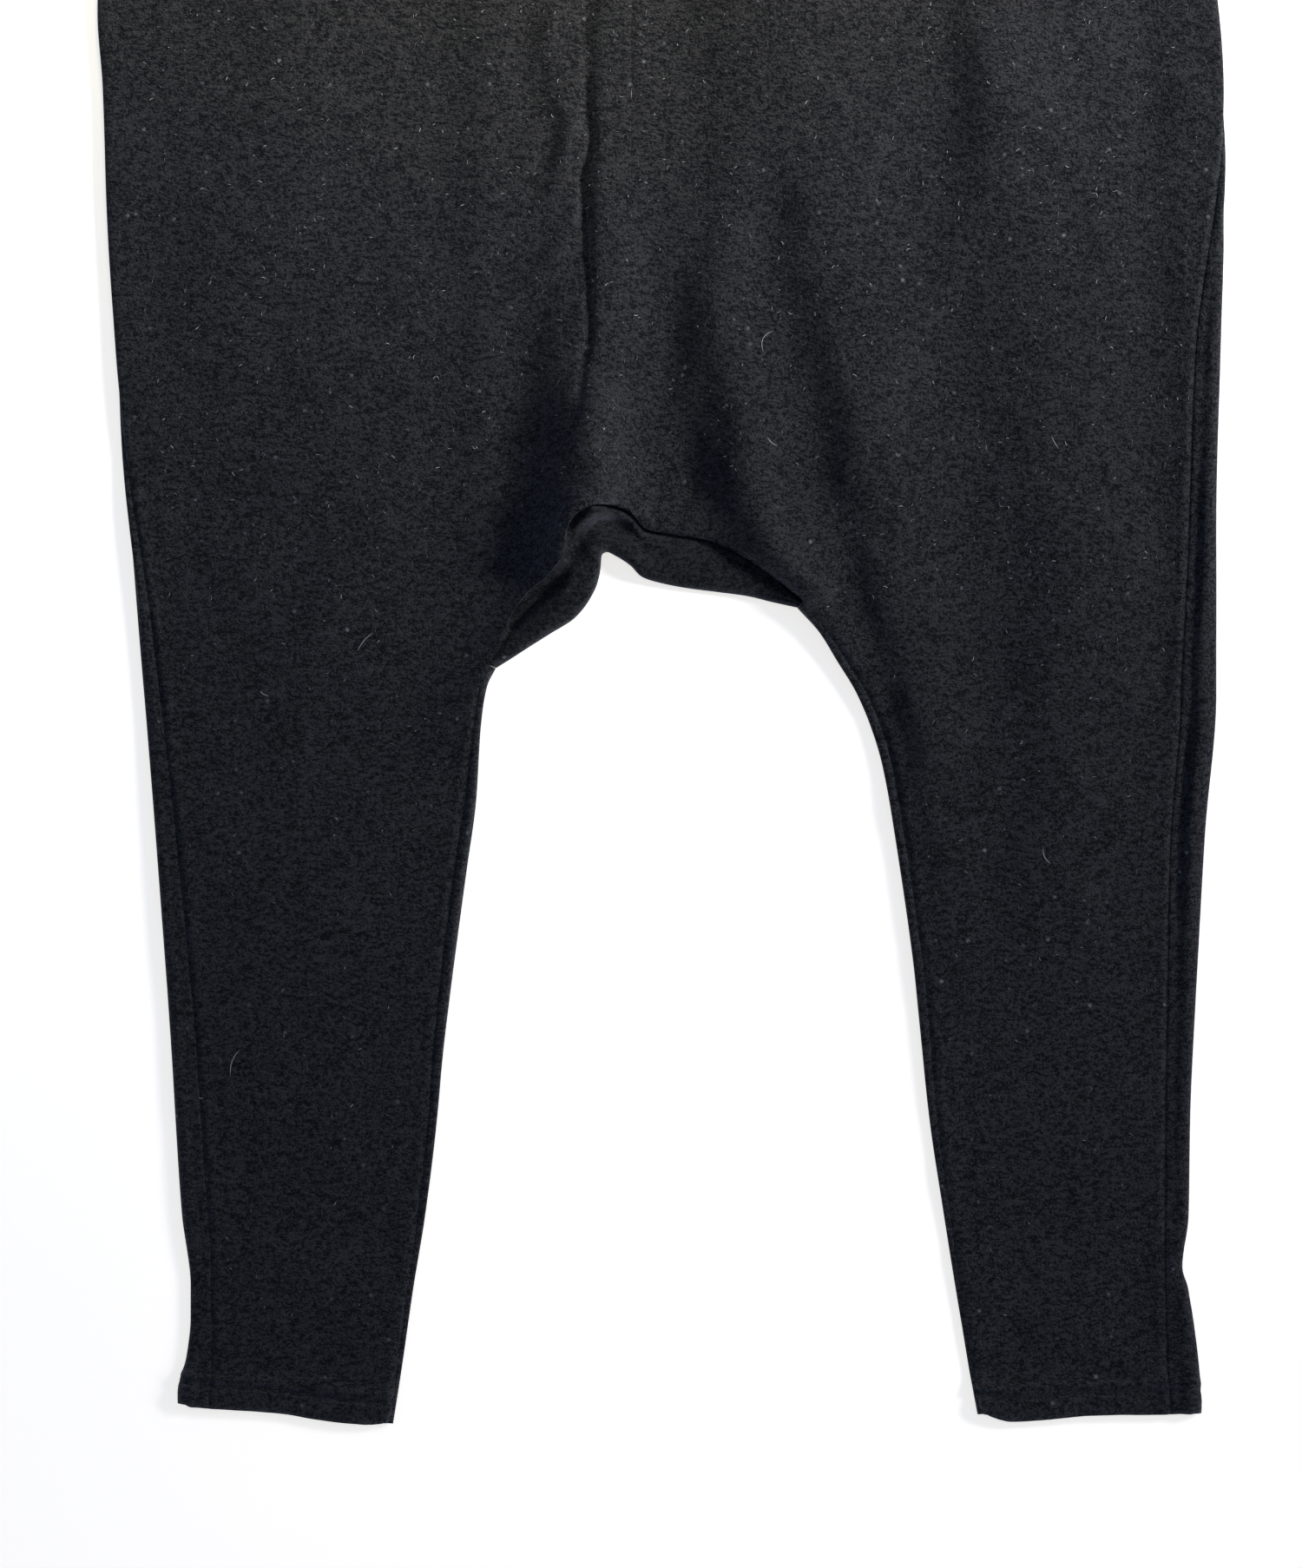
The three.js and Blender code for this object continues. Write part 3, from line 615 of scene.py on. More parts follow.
def front_height(x, y):
    """The outer surface of the front over points of the plan, away from the hem."""
    centre = read(CENTRE, "y", "x", y)
    left = read(SIDE[LEFT], "y", "x", y)
    right = read(SIDE[RIGHT], "y", "x", y)
    half = (left - right) / 2
    to_side = half - np.abs(x - (left + right) / 2)
    bent = x + sum(shift * value_noise(x, y, size, seed) for size, shift, seed in WANDER)
    folds = sum(ridge_height(bent, y, *ridge) for ridge in RIDGES)
    for seed, fold in enumerate(FOLDS.values()):
        folds = folds + fold_height(fold, seed, bent, y)
    wrinkles = sum(wrinkle_height(x, y, *wrinkle) for wrinkle in WRINKLES)
    for size, high, seed in UNEVEN:
        wrinkles = wrinkles + high * value_noise(x, y, size, seed)
    phase = (x - centre) / (2 * half) * GATHERS * 2 * math.pi
    fade = 1 - ease((WAIST_SEAM - y) / GATHER_LENGTH)
    gathers = GATHER_RISE * fade * (0.5 + 0.5 * np.cos(phase)) * ease(to_side / GATHER_CALM)
    folds = folds * ease(to_side / SIDE_CALM)
    return FLAT + folds + wrinkles * ease(to_side / WRINKLE_CALM) + gathers


def rows_for(half):
    """Every row of one half: its place on the side fold, its inner end on the front and on the
    back, its seams, its share in the leg's relief, and how far its ends are from the hem."""
    inner, side_y, zone = [], [], []
    for name, stops in ROWS[half].items():
        for i in range(len(stops["inner"]) - 1):
            t = np.arange(stops["steps"][i]) / stops["steps"][i]
            inner.append(stops["inner"][i] + (stops["inner"][i + 1] - stops["inner"][i]) * t)
            side_y.append(stops["side"][i] + (stops["side"][i + 1] - stops["side"][i]) * t)
            zone += [name] * len(t)
    leg = ROWS[half]["leg"]
    inner = np.append(np.concatenate(inner), leg["inner"][-1])
    side_y = np.append(np.concatenate(side_y), leg["side"][-1])
    zone = np.array(zone + ["leg"])
    is_leg, is_crotch, is_centre = (zone == name for name in ("leg", "crotch", "centre"))

    end = np.zeros((len(inner), 2))
    back_end = np.zeros((len(inner), 2))
    y = inner[is_centre]
    x = read(CENTRE, "y", "x", y) + half * SEAM_GAP / 2
    rise = BACK_CROTCH_RISE * ease((BACK_RISE_FROM - y) / BACK_RISE_LENGTH)
    end[is_centre] = np.stack([x, y], 1)
    back_end[is_centre] = np.stack([x, y + rise], 1)
    at = inner[is_crotch]
    apart = np.where(at == CROTCH_CENTRE, half * SEAM_GAP / 2, 0)
    for place, side in ((end, "front"), (back_end, "back")):
        place[is_crotch, 0] = read(CROTCH, "at", f"{side}X", at) + apart
        place[is_crotch, 1] = read(CROTCH, "at", f"{side}Y", at)
    y = inner[is_leg]
    end[is_leg] = np.stack([read(INSIDE[half], "y", "x", y), y], 1)
    back_end[is_leg] = end[is_leg]

    start = np.stack([read(SIDE[half], "y", "x", side_y), side_y], 1)
    width = np.linalg.norm(end - start, axis=1, keepdims=True)
    return SimpleNamespace(
        half=half,
        is_leg=is_leg[:, None],
        is_centre=is_centre[:, None],
        side=start,
        end=end,
        back_end=back_end,
        side_seam=read(SIDE[half], "y", "seam", side_y)[:, None],
        inseam=read(INSIDE[half], "y", "seam", inner)[:, None],
        width=width,
        inwards=(end - start) / width,
        leg_share=ease((end[is_leg][0, 1] - end[:, 1:]) / LEG_START),
        end_to_hem=inner[:, None] - leg["inner"][-1],
        side_to_hem=side_y[:, None] - leg["side"][-1],
    )


def hem_at(rows, inset):
    """What the hem does at a distance in from the side fold: how far it dips, how thick the
    wall is, how much higher the front lies, and how far above the hem's edge the place is."""
    across = np.clip(1 - inset / rows.width, 0, 1)
    above = rows.side_to_hem * (1 - across) + rows.end_to_hem * across
    above = np.where(rows.is_leg, above, 1e6)
    return SimpleNamespace(
        dip=read(HEM_DIP[rows.half], "across", "dip", across) * (1 - ease(above / HEM_BLEND)),
        thick=CLOTH + HEM_EXTRA * ease(HEM_DEPTH + 0.5 - above),
        lift=2 * HEM_EXTRA * ease((HEM_DEPTH + HEM_STEP - above) / HEM_STEP),
        above=above,
    )


def seam_relief(away):
    """How far the cloth is drawn in at a seam, and puffed up beside it, at a distance from it."""
    return SEAM_PUFF * bell(np.abs(away) - 3.8, 2.2) - SEAM_DRAW * bell(away, 1.6)


def crotch_relief(rows, away):
    """The same where the front meets the gusset: its edge turns down, and a stitched line runs
    along it round the middle."""
    x = rows.end[:, :1]
    near = bell(x + 30, 26)
    edge = -1.1 * bell(away, 2.4) * ease((x + 52) / 14)
    return edge - 0.5 * near * bell(away - EDGE_STITCH, 1.2) + 0.45 * near * bell(away - 4.6, 2.6)


def strip_relief(q, seam, y):
    """The same round a fold, at a distance q along it from the outermost line: the strip between
    the seam and the fold is hollow beside the seam and rolls up to the fold."""
    strong = ease((seam - 2) / 9)
    hollow = -STRIP_HOLLOW * bell(q - seam + 5, 3.2)
    roll = STRIP_ROLL * bell(q - seam / 2, 1 + seam / 5)
    wander = 1 + 0.4 * value_noise(seam, y, 34, 11)
    return seam_relief(q - seam) + strong * (hollow + roll) * wander


def inner_relief(rows, away):
    """The relief of the front's inner edge above the legs, at a distance in from it."""
    centre = 0.55 * ease((rows.end[:, 1:] - 140) / 90) * seam_relief(away)
    crotch = np.where(rows.is_leg, 0, crotch_relief(rows, away))
    return np.where(rows.is_centre, centre, crotch)


def hem_relief(above):
    """The relief of a hem with its rounded rim, at a height above its edge."""
    rim = -1.2 * np.clip(1 - above / 3.2, 0, 1) ** 2
    return rim + sum(high * bell(above - at, width) for high, at, width in HEM_RELIEF)


def flat_points(rows, inset, on_top):
    """The cloth's outer face at distances in from the side fold, on top or underneath, and what
    the hem does there."""
    plan = rows.side[:, None] + rows.inwards[:, None] * inset[..., None]
    hem = hem_at(rows, inset)
    high = front_height(plan[..., 0], plan[..., 1]) + hem.lift
    high = np.where(on_top, high, 0)
    return np.stack([plan[..., 0], plan[..., 1] - hem.dip, high], -1), hem


def folded_points(rows, at_side, q):
    """The outer face round a fold at a distance q along it from the outermost line: on top
    where q is positive and underneath where it is negative."""
    base = rows.side if at_side else rows.end
    towards = rows.inwards if at_side else -rows.inwards
    nose_inset = FOLD_NOSE if at_side else rows.width - FOLD_NOSE
    hem = hem_at(rows, np.broadcast_to(nose_inset, (len(base), 1)))
    probe = base + towards * FOLD_NOSE
    radius = (front_height(probe[:, 0], probe[:, 1])[:, None] + hem.lift) / 2
    quarter = math.pi / 2 * np.sqrt((FOLD_NOSE**2 + radius**2) / 2)
    angle = np.clip(q / quarter, -1, 1) * math.pi / 2
    inset = FOLD_NOSE * (1 - np.cos(angle))
    plan = base[:, None] + towards[:, None] * inset[..., None]
    nose = np.stack([plan[..., 0], plan[..., 1] - hem.dip, radius * (1 + np.sin(angle))], -1)
    flat_inset = FOLD_NOSE + np.abs(q) - quarter
    flat_inset = flat_inset if at_side else rows.width - flat_inset
    flat, flat_hem = flat_points(rows, flat_inset, q > 0)
    is_nose = np.abs(q) < quarter
    points = np.where(is_nose[..., None], nose, flat)
    thick = np.where(is_nose, hem.thick, flat_hem.thick)
    above = np.where(is_nose, hem.above, flat_hem.above)
    seam = rows.side_seam if at_side else rows.inseam
    return points, thick, above, strip_relief(q, seam, base[:, 1:])


def joined(parts):
    """The grids of a panel from those of its parts, side by side."""
    names = ("points", "thick", "above", "relief")
    grids = (np.concatenate([p[i] for p in parts], axis=1) for i in range(4))
    panel = SimpleNamespace(**dict(zip(names, grids)))
    panel.hem = hem_relief(panel.above)
    return panel


def front_points(rows):
    """The outer points of a front, with the wall's thickness, the height above the hem and the
    relief at each, on a grid from the side seam to the centre seam, gusset or inseam."""
    seam = rows.side_seam + SEAM_GAP / 2
    share = np.linspace(0, 1, FOLD_COLUMNS + 1)[None] ** 1.5
    side = folded_points(rows, True, seam + (FRONT_REACH - seam) * share)
    share = 1 - (1 - np.linspace(0, 1, FRONT_COLUMNS + 1)[None, 1:]) ** 1.5
    reach = rows.width - INNER_REACH
    inset = FRONT_REACH + (reach - FRONT_REACH) * share
    points, hem = flat_points(rows, inset, True)
    middle = (points, hem.thick, hem.above, inner_relief(rows, rows.width - inset))
    share = (1 - np.linspace(0, 1, INNER_COLUMNS + 1)[None, 1:]) ** 1.7
    inseam = rows.inseam + SEAM_GAP / 2
    folded = folded_points(rows, False, inseam + (INNER_REACH - inseam) * share)
    points, hem = flat_points(rows, rows.width - INNER_REACH * share, True)
    is_leg = rows.is_leg
    # the edge that lies free on the gusset thins out
    is_free = ~is_leg & ~rows.is_centre
    taper = np.where(is_free, EDGE_THIN + (1 - EDGE_THIN) * ease(INNER_REACH * share / 6), 1)
    inner = (
        np.where(is_leg[..., None], folded[0], points),
        np.where(is_leg, folded[1], hem.thick * taper),
        np.where(is_leg, folded[2], hem.above),
        np.where(is_leg, folded[3] * rows.leg_share, inner_relief(rows, INNER_REACH * share)),
    )
    return joined([side, middle, inner])


def back_points(rows):
    """The same for a back, from the side seam round under the garment. The columns past its
    middle are only there on the legs, and are missing, as NaN, above them."""

    def round_fold(at_side, seam):
        q = seam - SEAM_GAP / 2
        share = np.linspace(0, 1, BACK_FOLD_COLUMNS + 1)[None]
        return folded_points(rows, at_side, q - (q + INNER_REACH) * share)

    side = round_fold(True, rows.side_seam)
    start = rows.side + rows.inwards * INNER_REACH
    end = rows.back_end - rows.inwards * INNER_REACH * rows.is_leg
    share = np.linspace(0, 1, BACK_COLUMNS + 1)[None, 1:]
    plan = start[:, None] + (end - start)[:, None] * share[..., None]
    hem = hem_at(rows, np.linalg.norm(plan - rows.side[:, None], axis=-1))
    under = np.stack([plan[..., 0], plan[..., 1] - hem.dip, np.zeros(hem.dip.shape)], -1)
    middle = (under, hem.thick, hem.above, np.zeros(hem.dip.shape))
    inner = [p[:, ::-1][:, 1:] for p in round_fold(False, rows.inseam)]
    inner[3] = inner[3] * rows.leg_share
    inner[0] = np.where(rows.is_leg[..., None], inner[0], np.nan)
    return joined([side, middle, inner])


def grid_slope(points, axis):
    """The step to the next point of a grid along one axis, from the neighbours that are there."""
    steps = np.diff(points, axis=axis)
    missing = np.full_like(points.take([0], axis), np.nan)
    both = np.stack(
        [np.concatenate([missing, steps], axis), np.concatenate([steps, missing], axis)]
    )
    there = ~np.isnan(both)
    return np.where(there, both, 0).sum(axis=0) / np.maximum(there.sum(axis=0), 1)


def grid_normals(points):
    """Unit normals of a grid of points, from its neighbours along rows and columns."""
    normal = np.cross(grid_slope(points, 0), grid_slope(points, 1))
    length = np.linalg.norm(normal, axis=-1, keepdims=True)
    return normal / np.where(length == 0, 1, length)


def shell(name, outer, inner, is_ring=False):
    """A closed wall of cloth between two grids of points. Cells with a missing point are left
    out, and a ring joins its last column to its first."""
    if is_ring:
        outer = np.concatenate([outer, outer[:, :1]], axis=1)
        inner = np.concatenate([inner, inner[:, :1]], axis=1)
    there = ~np.isnan(outer[..., 0])
    rows, columns = there.shape
    number = np.arange(rows * columns).reshape(rows, columns)
    if is_ring:
        number[:, -1] = number[:, 0]
    cells = there[:-1, :-1] & there[1:, :-1] & there[:-1, 1:] & there[1:, 1:]
    total = rows * columns
    a, b = number[:-1, :-1], number[1:, :-1]
    c, d = number[1:, 1:], number[:-1, 1:]
    faces = [
        np.stack([a, b, c, d], -1)[cells],
        np.stack([d, c, b, a], -1)[cells] + total,
    ]
    padded = np.pad(cells, 1)
    if is_ring:
        padded[:, 0] = padded[:, -2]
        padded[:, -1] = padded[:, 1]
    borders = [
        (padded[1:-1, :-2], b, a),
        (padded[1:-1, 2:], d, c),
        (padded[:-2, 1:-1], a, d),
        (padded[2:, 1:-1], c, b),
    ]
    for neighbour, start, end in borders:
        free = cells & ~neighbour
        near, far = start[free], end[free]
        faces.append(np.stack([near, far, far + total, near + total], -1))
    faces = np.concatenate(faces)
    points = np.concatenate([outer.reshape(-1, 3), inner.reshape(-1, 3)])
    used = np.unique(faces)
    renumber = np.zeros(2 * total, int)
    renumber[used] = np.arange(len(used))
    return make_mesh(name, points[used] * MM, renumber[faces])


def add_object(name, data):
    """A new object in the scene."""
    thing = bpy.data.objects.new(name, data)
    scene.collection.objects.link(thing)
    return thing


def make_mesh(name, points, faces):
    """A smooth mesh object from points in metres. Its faces are turned to look outwards."""
    corners = points[faces]
    first, second, third, fourth = (corners[:, i] for i in range(4))
    volume = np.einsum("ij,ij->", first, np.cross(second, third))
    volume += np.einsum("ij,ij->", first, np.cross(third, fourth))
    if volume < 0:
        faces = faces[:, ::-1]
    mesh = bpy.data.meshes.new(name)
    mesh.vertices.add(len(points))
    mesh.vertices.foreach_set("co", points.astype(np.float32).ravel())
    mesh.loops.add(faces.size)
    mesh.loops.foreach_set("vertex_index", faces.astype(np.int32).ravel())
    mesh.polygons.add(len(faces))
    mesh.polygons.foreach_set("loop_start", np.arange(0, faces.size, 4, dtype=np.int32))
    mesh.update(calc_edges=True)
    mesh.validate()
    mesh.shade_smooth()
    return add_object(name, mesh)


def cloth(name, panel):
    """A panel's shell and the grid of its outer face, from its outer points, the wall's thickness
    at each and how far each is moved out. The underside stays flat on the table."""
    points = panel.points
    normals = grid_normals(points)
    filled = np.nan_to_num(points)
    bottom = np.nanmin(points[..., 2])
    normals *= np.sign(np.nansum(normals[..., 2] * (filled[..., 2] - bottom - 1)))
    relief = panel.relief + panel.hem * np.clip(normals[..., 2], 0, 1)
    relief = relief * ease(filled[..., 2] / 1.5)
    outer = points + normals * relief[..., None]
    inner = points + normals * np.minimum(relief - panel.thick, -THINNEST)[..., None]
    return shell(name, outer, inner), outer


def crotch_gusset():
    """The band between the legs, from its tucked edge under the fronts, over its fold on the
    crotch's edge, and back under itself to the backs."""
    last = CROTCH["at"][-1]
    at = np.linspace(0, last, last * GUSSET_STEPS + 1)
    at[0] = GUSSET_END
    at[-1] = last - GUSSET_END

    def get(column):
        return read(CROTCH if column in CROTCH else GUSSET, "at", column, at)

    front = np.stack([get("frontX"), get("frontY")], 1)
    edge = np.stack([get("edgeX"), get("edgeY")], 1)
    down = np.stack([get("backX"), get("backY")], 1) - edge
    up = front - edge
    up_length = np.linalg.norm(up, axis=1)
    tuck = get("tuck")
    reach = up_length + tuck
    down_length = np.linalg.norm(down, axis=1)
    under = down_length - GUSSET_SEAM
    up /= up_length[:, None]
    down /= down_length[:, None]
    tucked = edge + up * reach[:, None]
    roll = get("roll")
    low = np.full(len(at), 1e9)
    for place in (tucked, front):
        for dx in (-TUCK_PROBE, 0, TUCK_PROBE):
            for dy in (-TUCK_PROBE, 0, TUCK_PROBE):
                high = front_height(place[:, 0] + dx, place[:, 1] + dy)
                low = np.minimum(low, high - 1.3 * CLOTH)
    share = ease((tuck - GUSSET["tuck"].min()) / np.ptp(GUSSET["tuck"]))
    tucked_height = roll + (low - TUCK_CLEAR - get("sink") - roll) * share
    radius = roll / 2
    nose = np.minimum(radius, reach - THINNEST)
    share = np.linspace(0, 1, GUSSET_COLUMNS + 1)[None, :-1]
    distance = reach[:, None] + (nose - reach)[:, None] * share
    plan = edge[:, None] + up[:, None] * distance[..., None]
    z = roll[:, None] + (tucked_height - roll)[:, None] * (1 - share) ** get("fall")[:, None]
    z = z + get("lip")[:, None] * bell(share - 0.3, 0.16)
    z = z - get("hollow")[:, None] * bell(share - get("hollowAt")[:, None], 0.22)
    plump = GUSSET_BULGE * ease(reach / 12) * ease((7 - at) / 3)
    z = np.maximum(z + plump[:, None] * np.sin(math.pi * share), GUSSET_LOWEST)
    top = np.concatenate([plan, z[..., None]], -1)
    angle = np.radians(np.linspace(90, -90, 17))[None]
    blend = ((1 + np.sin(angle)) / 2)[..., None]
    direction = down[:, None] * (1 - blend) + up[:, None] * blend
    direction /= np.linalg.norm(direction, axis=-1, keepdims=True)
    inset = nose[:, None] * (1 - np.cos(angle))
    plan = edge[:, None] + direction * inset[..., None]
    fold = np.concatenate([plan, (radius[:, None] * (1 + np.sin(angle)))[..., None]], -1)
    share = np.linspace(0, 1, 7)[None, 1:]
    distance = nose[:, None] + (under - nose)[:, None] * share
    plan = edge[:, None] + down[:, None] * distance[..., None]
    below = np.concatenate([plan, np.zeros(distance.shape)[..., None]], -1)
    points = np.concatenate([top, fold, below], axis=1)
    flat = np.zeros(points.shape[:2])
    panel = SimpleNamespace(points=points, thick=flat + CLOTH, relief=flat, hem=flat)
    return cloth("gusset_cloth", panel)[0]


def waistband():
    """The folded band round the waist, laid flat, with small even gathers on its front."""
    left = SIDE[LEFT]["x"][0]
    right = SIDE[RIGHT]["x"][0]
    height = 2 * BAND_WALL + LAYER_GAP + BAND_RISE
    nose = height / 2
    width = left - right - 2 * nose
    t = np.linspace(0, 1, BAND_WAVES * BAND_STEPS + 1)
    calm = ease(t / 0.04) * ease((1 - t) / 0.04)
    wave = BAND_RISE * calm * np.sin(t * BAND_WAVES * 2 * math.pi)
    top = np.stack([right + nose + width * t, height + wave], 1)
    angle = np.linspace(math.pi / 2, -math.pi / 2, 17)[1:-1]
    out, rise = nose * np.cos(angle), nose * np.sin(angle)
    left_end = np.stack([left - nose + out, nose + rise], 1)
    bottom = np.stack([left - nose - width * np.linspace(0, 1, 101), np.zeros(101)], 1)
    right_end = np.stack([right + nose - out, nose - rise], 1)
    ring = np.concatenate([top, left_end, bottom, right_end])
    level = np.concatenate([[0, 0.02, 0.05], np.linspace(0.08, 0.92, 20), [0.95, 0.98, 1]])
    high = np.clip(ring[:, 1] / height, 0, 1)
    rim = np.clip(1 - np.minimum(level, 1 - level) * BAND_HEIGHT / BAND_RIM, 0, 1)
    lower = BAND_ROUND * (1 - np.sqrt(1 - rim**2))
    y = WAIST_SEAM + (WAIST_TOP - BAND_BACK_RISE * high[None] - WAIST_SEAM) * level[:, None]
    z = ring[None, :, 1] - lower[:, None] * high[None]
    outer = np.stack([np.broadcast_to(ring[:, 0], y.shape), y, z], -1)
    inner = outer.copy()
    centre = (left + right) / 2
    reach = (left - right) / 2 - BAND_WALL
    inner[..., 0] = centre + np.clip(outer[..., 0] - centre, -reach, reach)
    inner[..., 2] = np.clip(outer[..., 2], BAND_WALL, height - BAND_WALL)
    return shell("waistband_cloth", outer[:, ::-1], inner[:, ::-1], is_ring=True)


def put(node, values):
    """Gives the inputs of a node their values by name."""
    for name, value in values.items():
        node.inputs[name].default_value = value


def plain_material(name, values):
    """A material that is the same all over, from its shader's values."""
    material = bpy.data.materials.new(name)
    material.use_nodes = True
    put(material.node_tree.nodes["Principled BSDF"], values)
    return material


def knit_material(name, pale, depth):
    """Black knit. Pale is the colour of its raised tufts and depth how far they stand up."""
    values = {
        "Roughness": 0.95,
        "Specular IOR Level": 0.2,
        "Sheen Weight": 0.2,
        "Sheen Roughness": 0.5,
        "Sheen Tint": (0.75, 0.82, 1.0, 1),
    }
    material = plain_material(name, values)
    nodes = material.node_tree.nodes
    links = material.node_tree.links
    shader = nodes["Principled BSDF"]
    place = nodes.new("ShaderNodeTexCoord")

    def noise(scale, stretch, detail, roughness=0.6, turn=0.0):
        mapping = nodes.new("ShaderNodeMapping")
        put(mapping, {"Scale": stretch, "Rotation": (0, 0, turn)})
        links.new(place.outputs["Object"], mapping.inputs["Vector"])
        texture = nodes.new("ShaderNodeTexNoise")
        put(texture, {"Scale": scale, "Detail": detail, "Roughness": roughness})
        links.new(mapping.outputs["Vector"], texture.inputs["Vector"])
        return texture.outputs["Fac"]

    def math_node(operation, first, second):
        node = nodes.new("ShaderNodeMath")
        node.operation = operation
        for socket, value in zip(node.inputs, (first, second)):
            if isinstance(value, (int, float)):
                socket.default_value = value
            else:
                links.new(value, socket)
        return node.outputs[0]

    def ramp(factor, stops):
        node = nodes.new("ShaderNodeValToRGB")
        for element, (position, colour) in zip(node.color_ramp.elements, stops):
            element.position = position
            element.color = (*colour, 1)
        links.new(factor, node.inputs["Fac"])
        return node.outputs["Color"]

    # the pile: tufts and slubs that lie aslant, a fine grain and patches where it is thin, each
    # with its scale, stretch, detail, roughness and turn, and its share in the whole
    layers = (
        (noise(190, (0.8, 1.6, 1), 2, 0.6, -0.45), 0.18),
        (noise(345, (1, 1.6, 1), 2, 0.75, -0.2), 0.42),
        (noise(850, (1, 1.2, 1), 2, 0.6), 0.36),
        (noise(48, (1, 0.8, 1), 3, 0.6), 0.04),
    )
    pile = 0
    for layer, share in layers:
        pile = math_node("ADD", math_node("MULTIPLY", layer, share), pile)
    colour = ramp(pile, ((0.436, (0.001, 0.0011, 0.002)), (0.57, pale)))
    # pale specks painted in as highlights on the tips of tufts, one on every 5 to 7 square centimetres
    highlight_cells = nodes.new("ShaderNodeTexVoronoi")
    put(highlight_cells, {"Scale": 90})
    links.new(place.outputs["Object"], highlight_cells.inputs["Vector"])
    dot = ramp(highlight_cells.outputs["Distance"], ((0.03, (1, 1, 1)), (0.12, (0, 0, 0))))
    few = ramp(highlight_cells.outputs["Color"], ((0.35, (0, 0, 0)), (0.9, (1, 1, 1))))
    painted_highlight = math_node("MULTIPLY", dot, few)
    # the painted highlights lighten the base colour
    tint = nodes.new("ShaderNodeMix")
    tint.data_type = "RGBA"
    links.new(painted_highlight, tint.inputs["Factor"])
    links.new(colour, tint.inputs["A"])
    put(tint, {"B": (0.22, 0.225, 0.24, 1)})
    links.new(tint.outputs["Result"], shader.inputs["Base Color"])
    bump = nodes.new("ShaderNodeBump")
    put(bump, {"Strength": 1.0, "Distance": depth})
    links.new(pile, bump.inputs["Height"])
    links.new(bump.outputs["Normal"], shader.inputs["Normal"])
    return material


def dress(piece, material, *nodes):
    """The cloth in place of the solids of its nodes."""
    piece.data.materials.append(material)
    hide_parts(*nodes)
    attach(piece, "root")


def add_to(extra, material):
    """An extra mesh that lies on the cloth, such as its stitches."""
    extra.data.materials.append(material)
    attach(extra, "root")


def ribbon_mesh(name, lines, widths):
    """Flat ribbons along lines of points, all with as many points each, as one mesh."""
    along = np.gradient(lines, axis=1)
    sideways = np.stack([-along[..., 1], along[..., 0], 0 * along[..., 0]], -1)
    sideways /= np.linalg.norm(sideways, axis=-1, keepdims=True)
    half_width = widths[..., None] / 2
    points = np.stack([lines + sideways * half_width, lines - sideways * half_width], 2)
    count, long = lines.shape[:2]
    number = np.arange(count * long * 2).reshape(count, long, 2)
    faces = np.stack(
        [number[:, :-1, 0], number[:, :-1, 1], number[:, 1:, 1], number[:, 1:, 0]], -1
    )
    return make_mesh(name, points.reshape(-1, 3) * MM, faces.reshape(-1, 4))


def lint():
    """Short pale fibres that lie scattered on the front, and the few long ones."""
    rng = np.random.default_rng(21)
    tries = LINT_COUNT * 3
    wide, low, top = LINT_SPREAD
    y = rng.uniform(low, top, tries)
    x = rng.uniform(-wide, wide, tries)
    dense = LINT_ON_LEGS + (1 - LINT_ON_LEGS) * ease((y + 200) / 220)
    seen = rng.uniform(0, 1, tries) < dense
    left, right = (read(SIDE[half], "y", "x", y) - half * LINT_MARGIN for half in (LEFT, RIGHT))
    first, last = (read(INSIDE[half], "y", "x", y) + half * LINT_MARGIN for half in (RIGHT, LEFT))
    between = (y < 0) & (x > first) & (x < last)
    keep = np.flatnonzero((x < left) & (x > right) & ~between & seen)[:LINT_COUNT]
    count = len(keep)
    strewn = (
        x[keep],
        y[keep],
        rng.uniform(0, math.pi, count),
        rng.uniform(0.8, 2.4, count),
        rng.uniform(-0.5, 0.5, count),
        0.1 + 0.28 * rng.uniform(0, 1, count) ** 3,
    )
    hairs = [(x, y, math.radians(turn), long, bow, HAIR_WIDTH) for x, y, turn, long, bow in HAIRS]
    x, y, turn, length, bow, width = np.concatenate([strewn, np.transpose(hairs)], axis=1)
    middle = np.stack([x, y], 1)
    t = np.linspace(-1, 1, 7)[None]
    ahead = np.stack([np.cos(turn), np.sin(turn)], 1)
    beside = np.stack([-np.sin(turn), np.cos(turn)], 1)
    plan = middle[:, None] + (length[:, None] / 2 * t)[..., None] * ahead[:, None]
    plan = plan + ((bow * length / 2)[:, None] * (1 - t * t))[..., None] * beside[:, None]
    high = front_height(plan[..., 0], plan[..., 1]) + LINT_RISE
    lines = np.concatenate([plan, high[..., None]], -1)
    return ribbon_mesh("lint", lines, width[:, None] * (1 - 0.8 * t**4))


def hem_stitches(name, panel, outer):
    """A row of thread stitches round the hem of a panel, where its outer face is on top."""
    path = []
    for column in range(outer.shape[1]):
        above = panel.above[:, column]
        below = np.flatnonzero(above < HEM_ROW)
        if not len(below) or np.isnan(outer[below[0], column]).any():
            continue
        i = below[0]
        t = (above[i - 1] - HEM_ROW) / (above[i - 1] - above[i])
        path.append(outer[i - 1, column] * (1 - t) + outer[i, column] * t)
    path = np.array(path)
    along = np.concatenate([[0], np.cumsum(np.linalg.norm(np.diff(path, axis=0), axis=1))])
    start = np.arange(1.5, along[-1] - STITCH_PITCH, STITCH_PITCH)
    t = start[:, None] + STITCH_LENGTH * np.linspace(0, 1, 5)[None]
    lines = np.stack([np.interp(t, along, path[:, i]) for i in range(3)], -1)
    lines[..., 2] += 0.1 + 0.3 * np.sin(math.pi * np.linspace(0, 1, 5))
    return ribbon_mesh(name, lines, np.full(t.shape, THREAD))


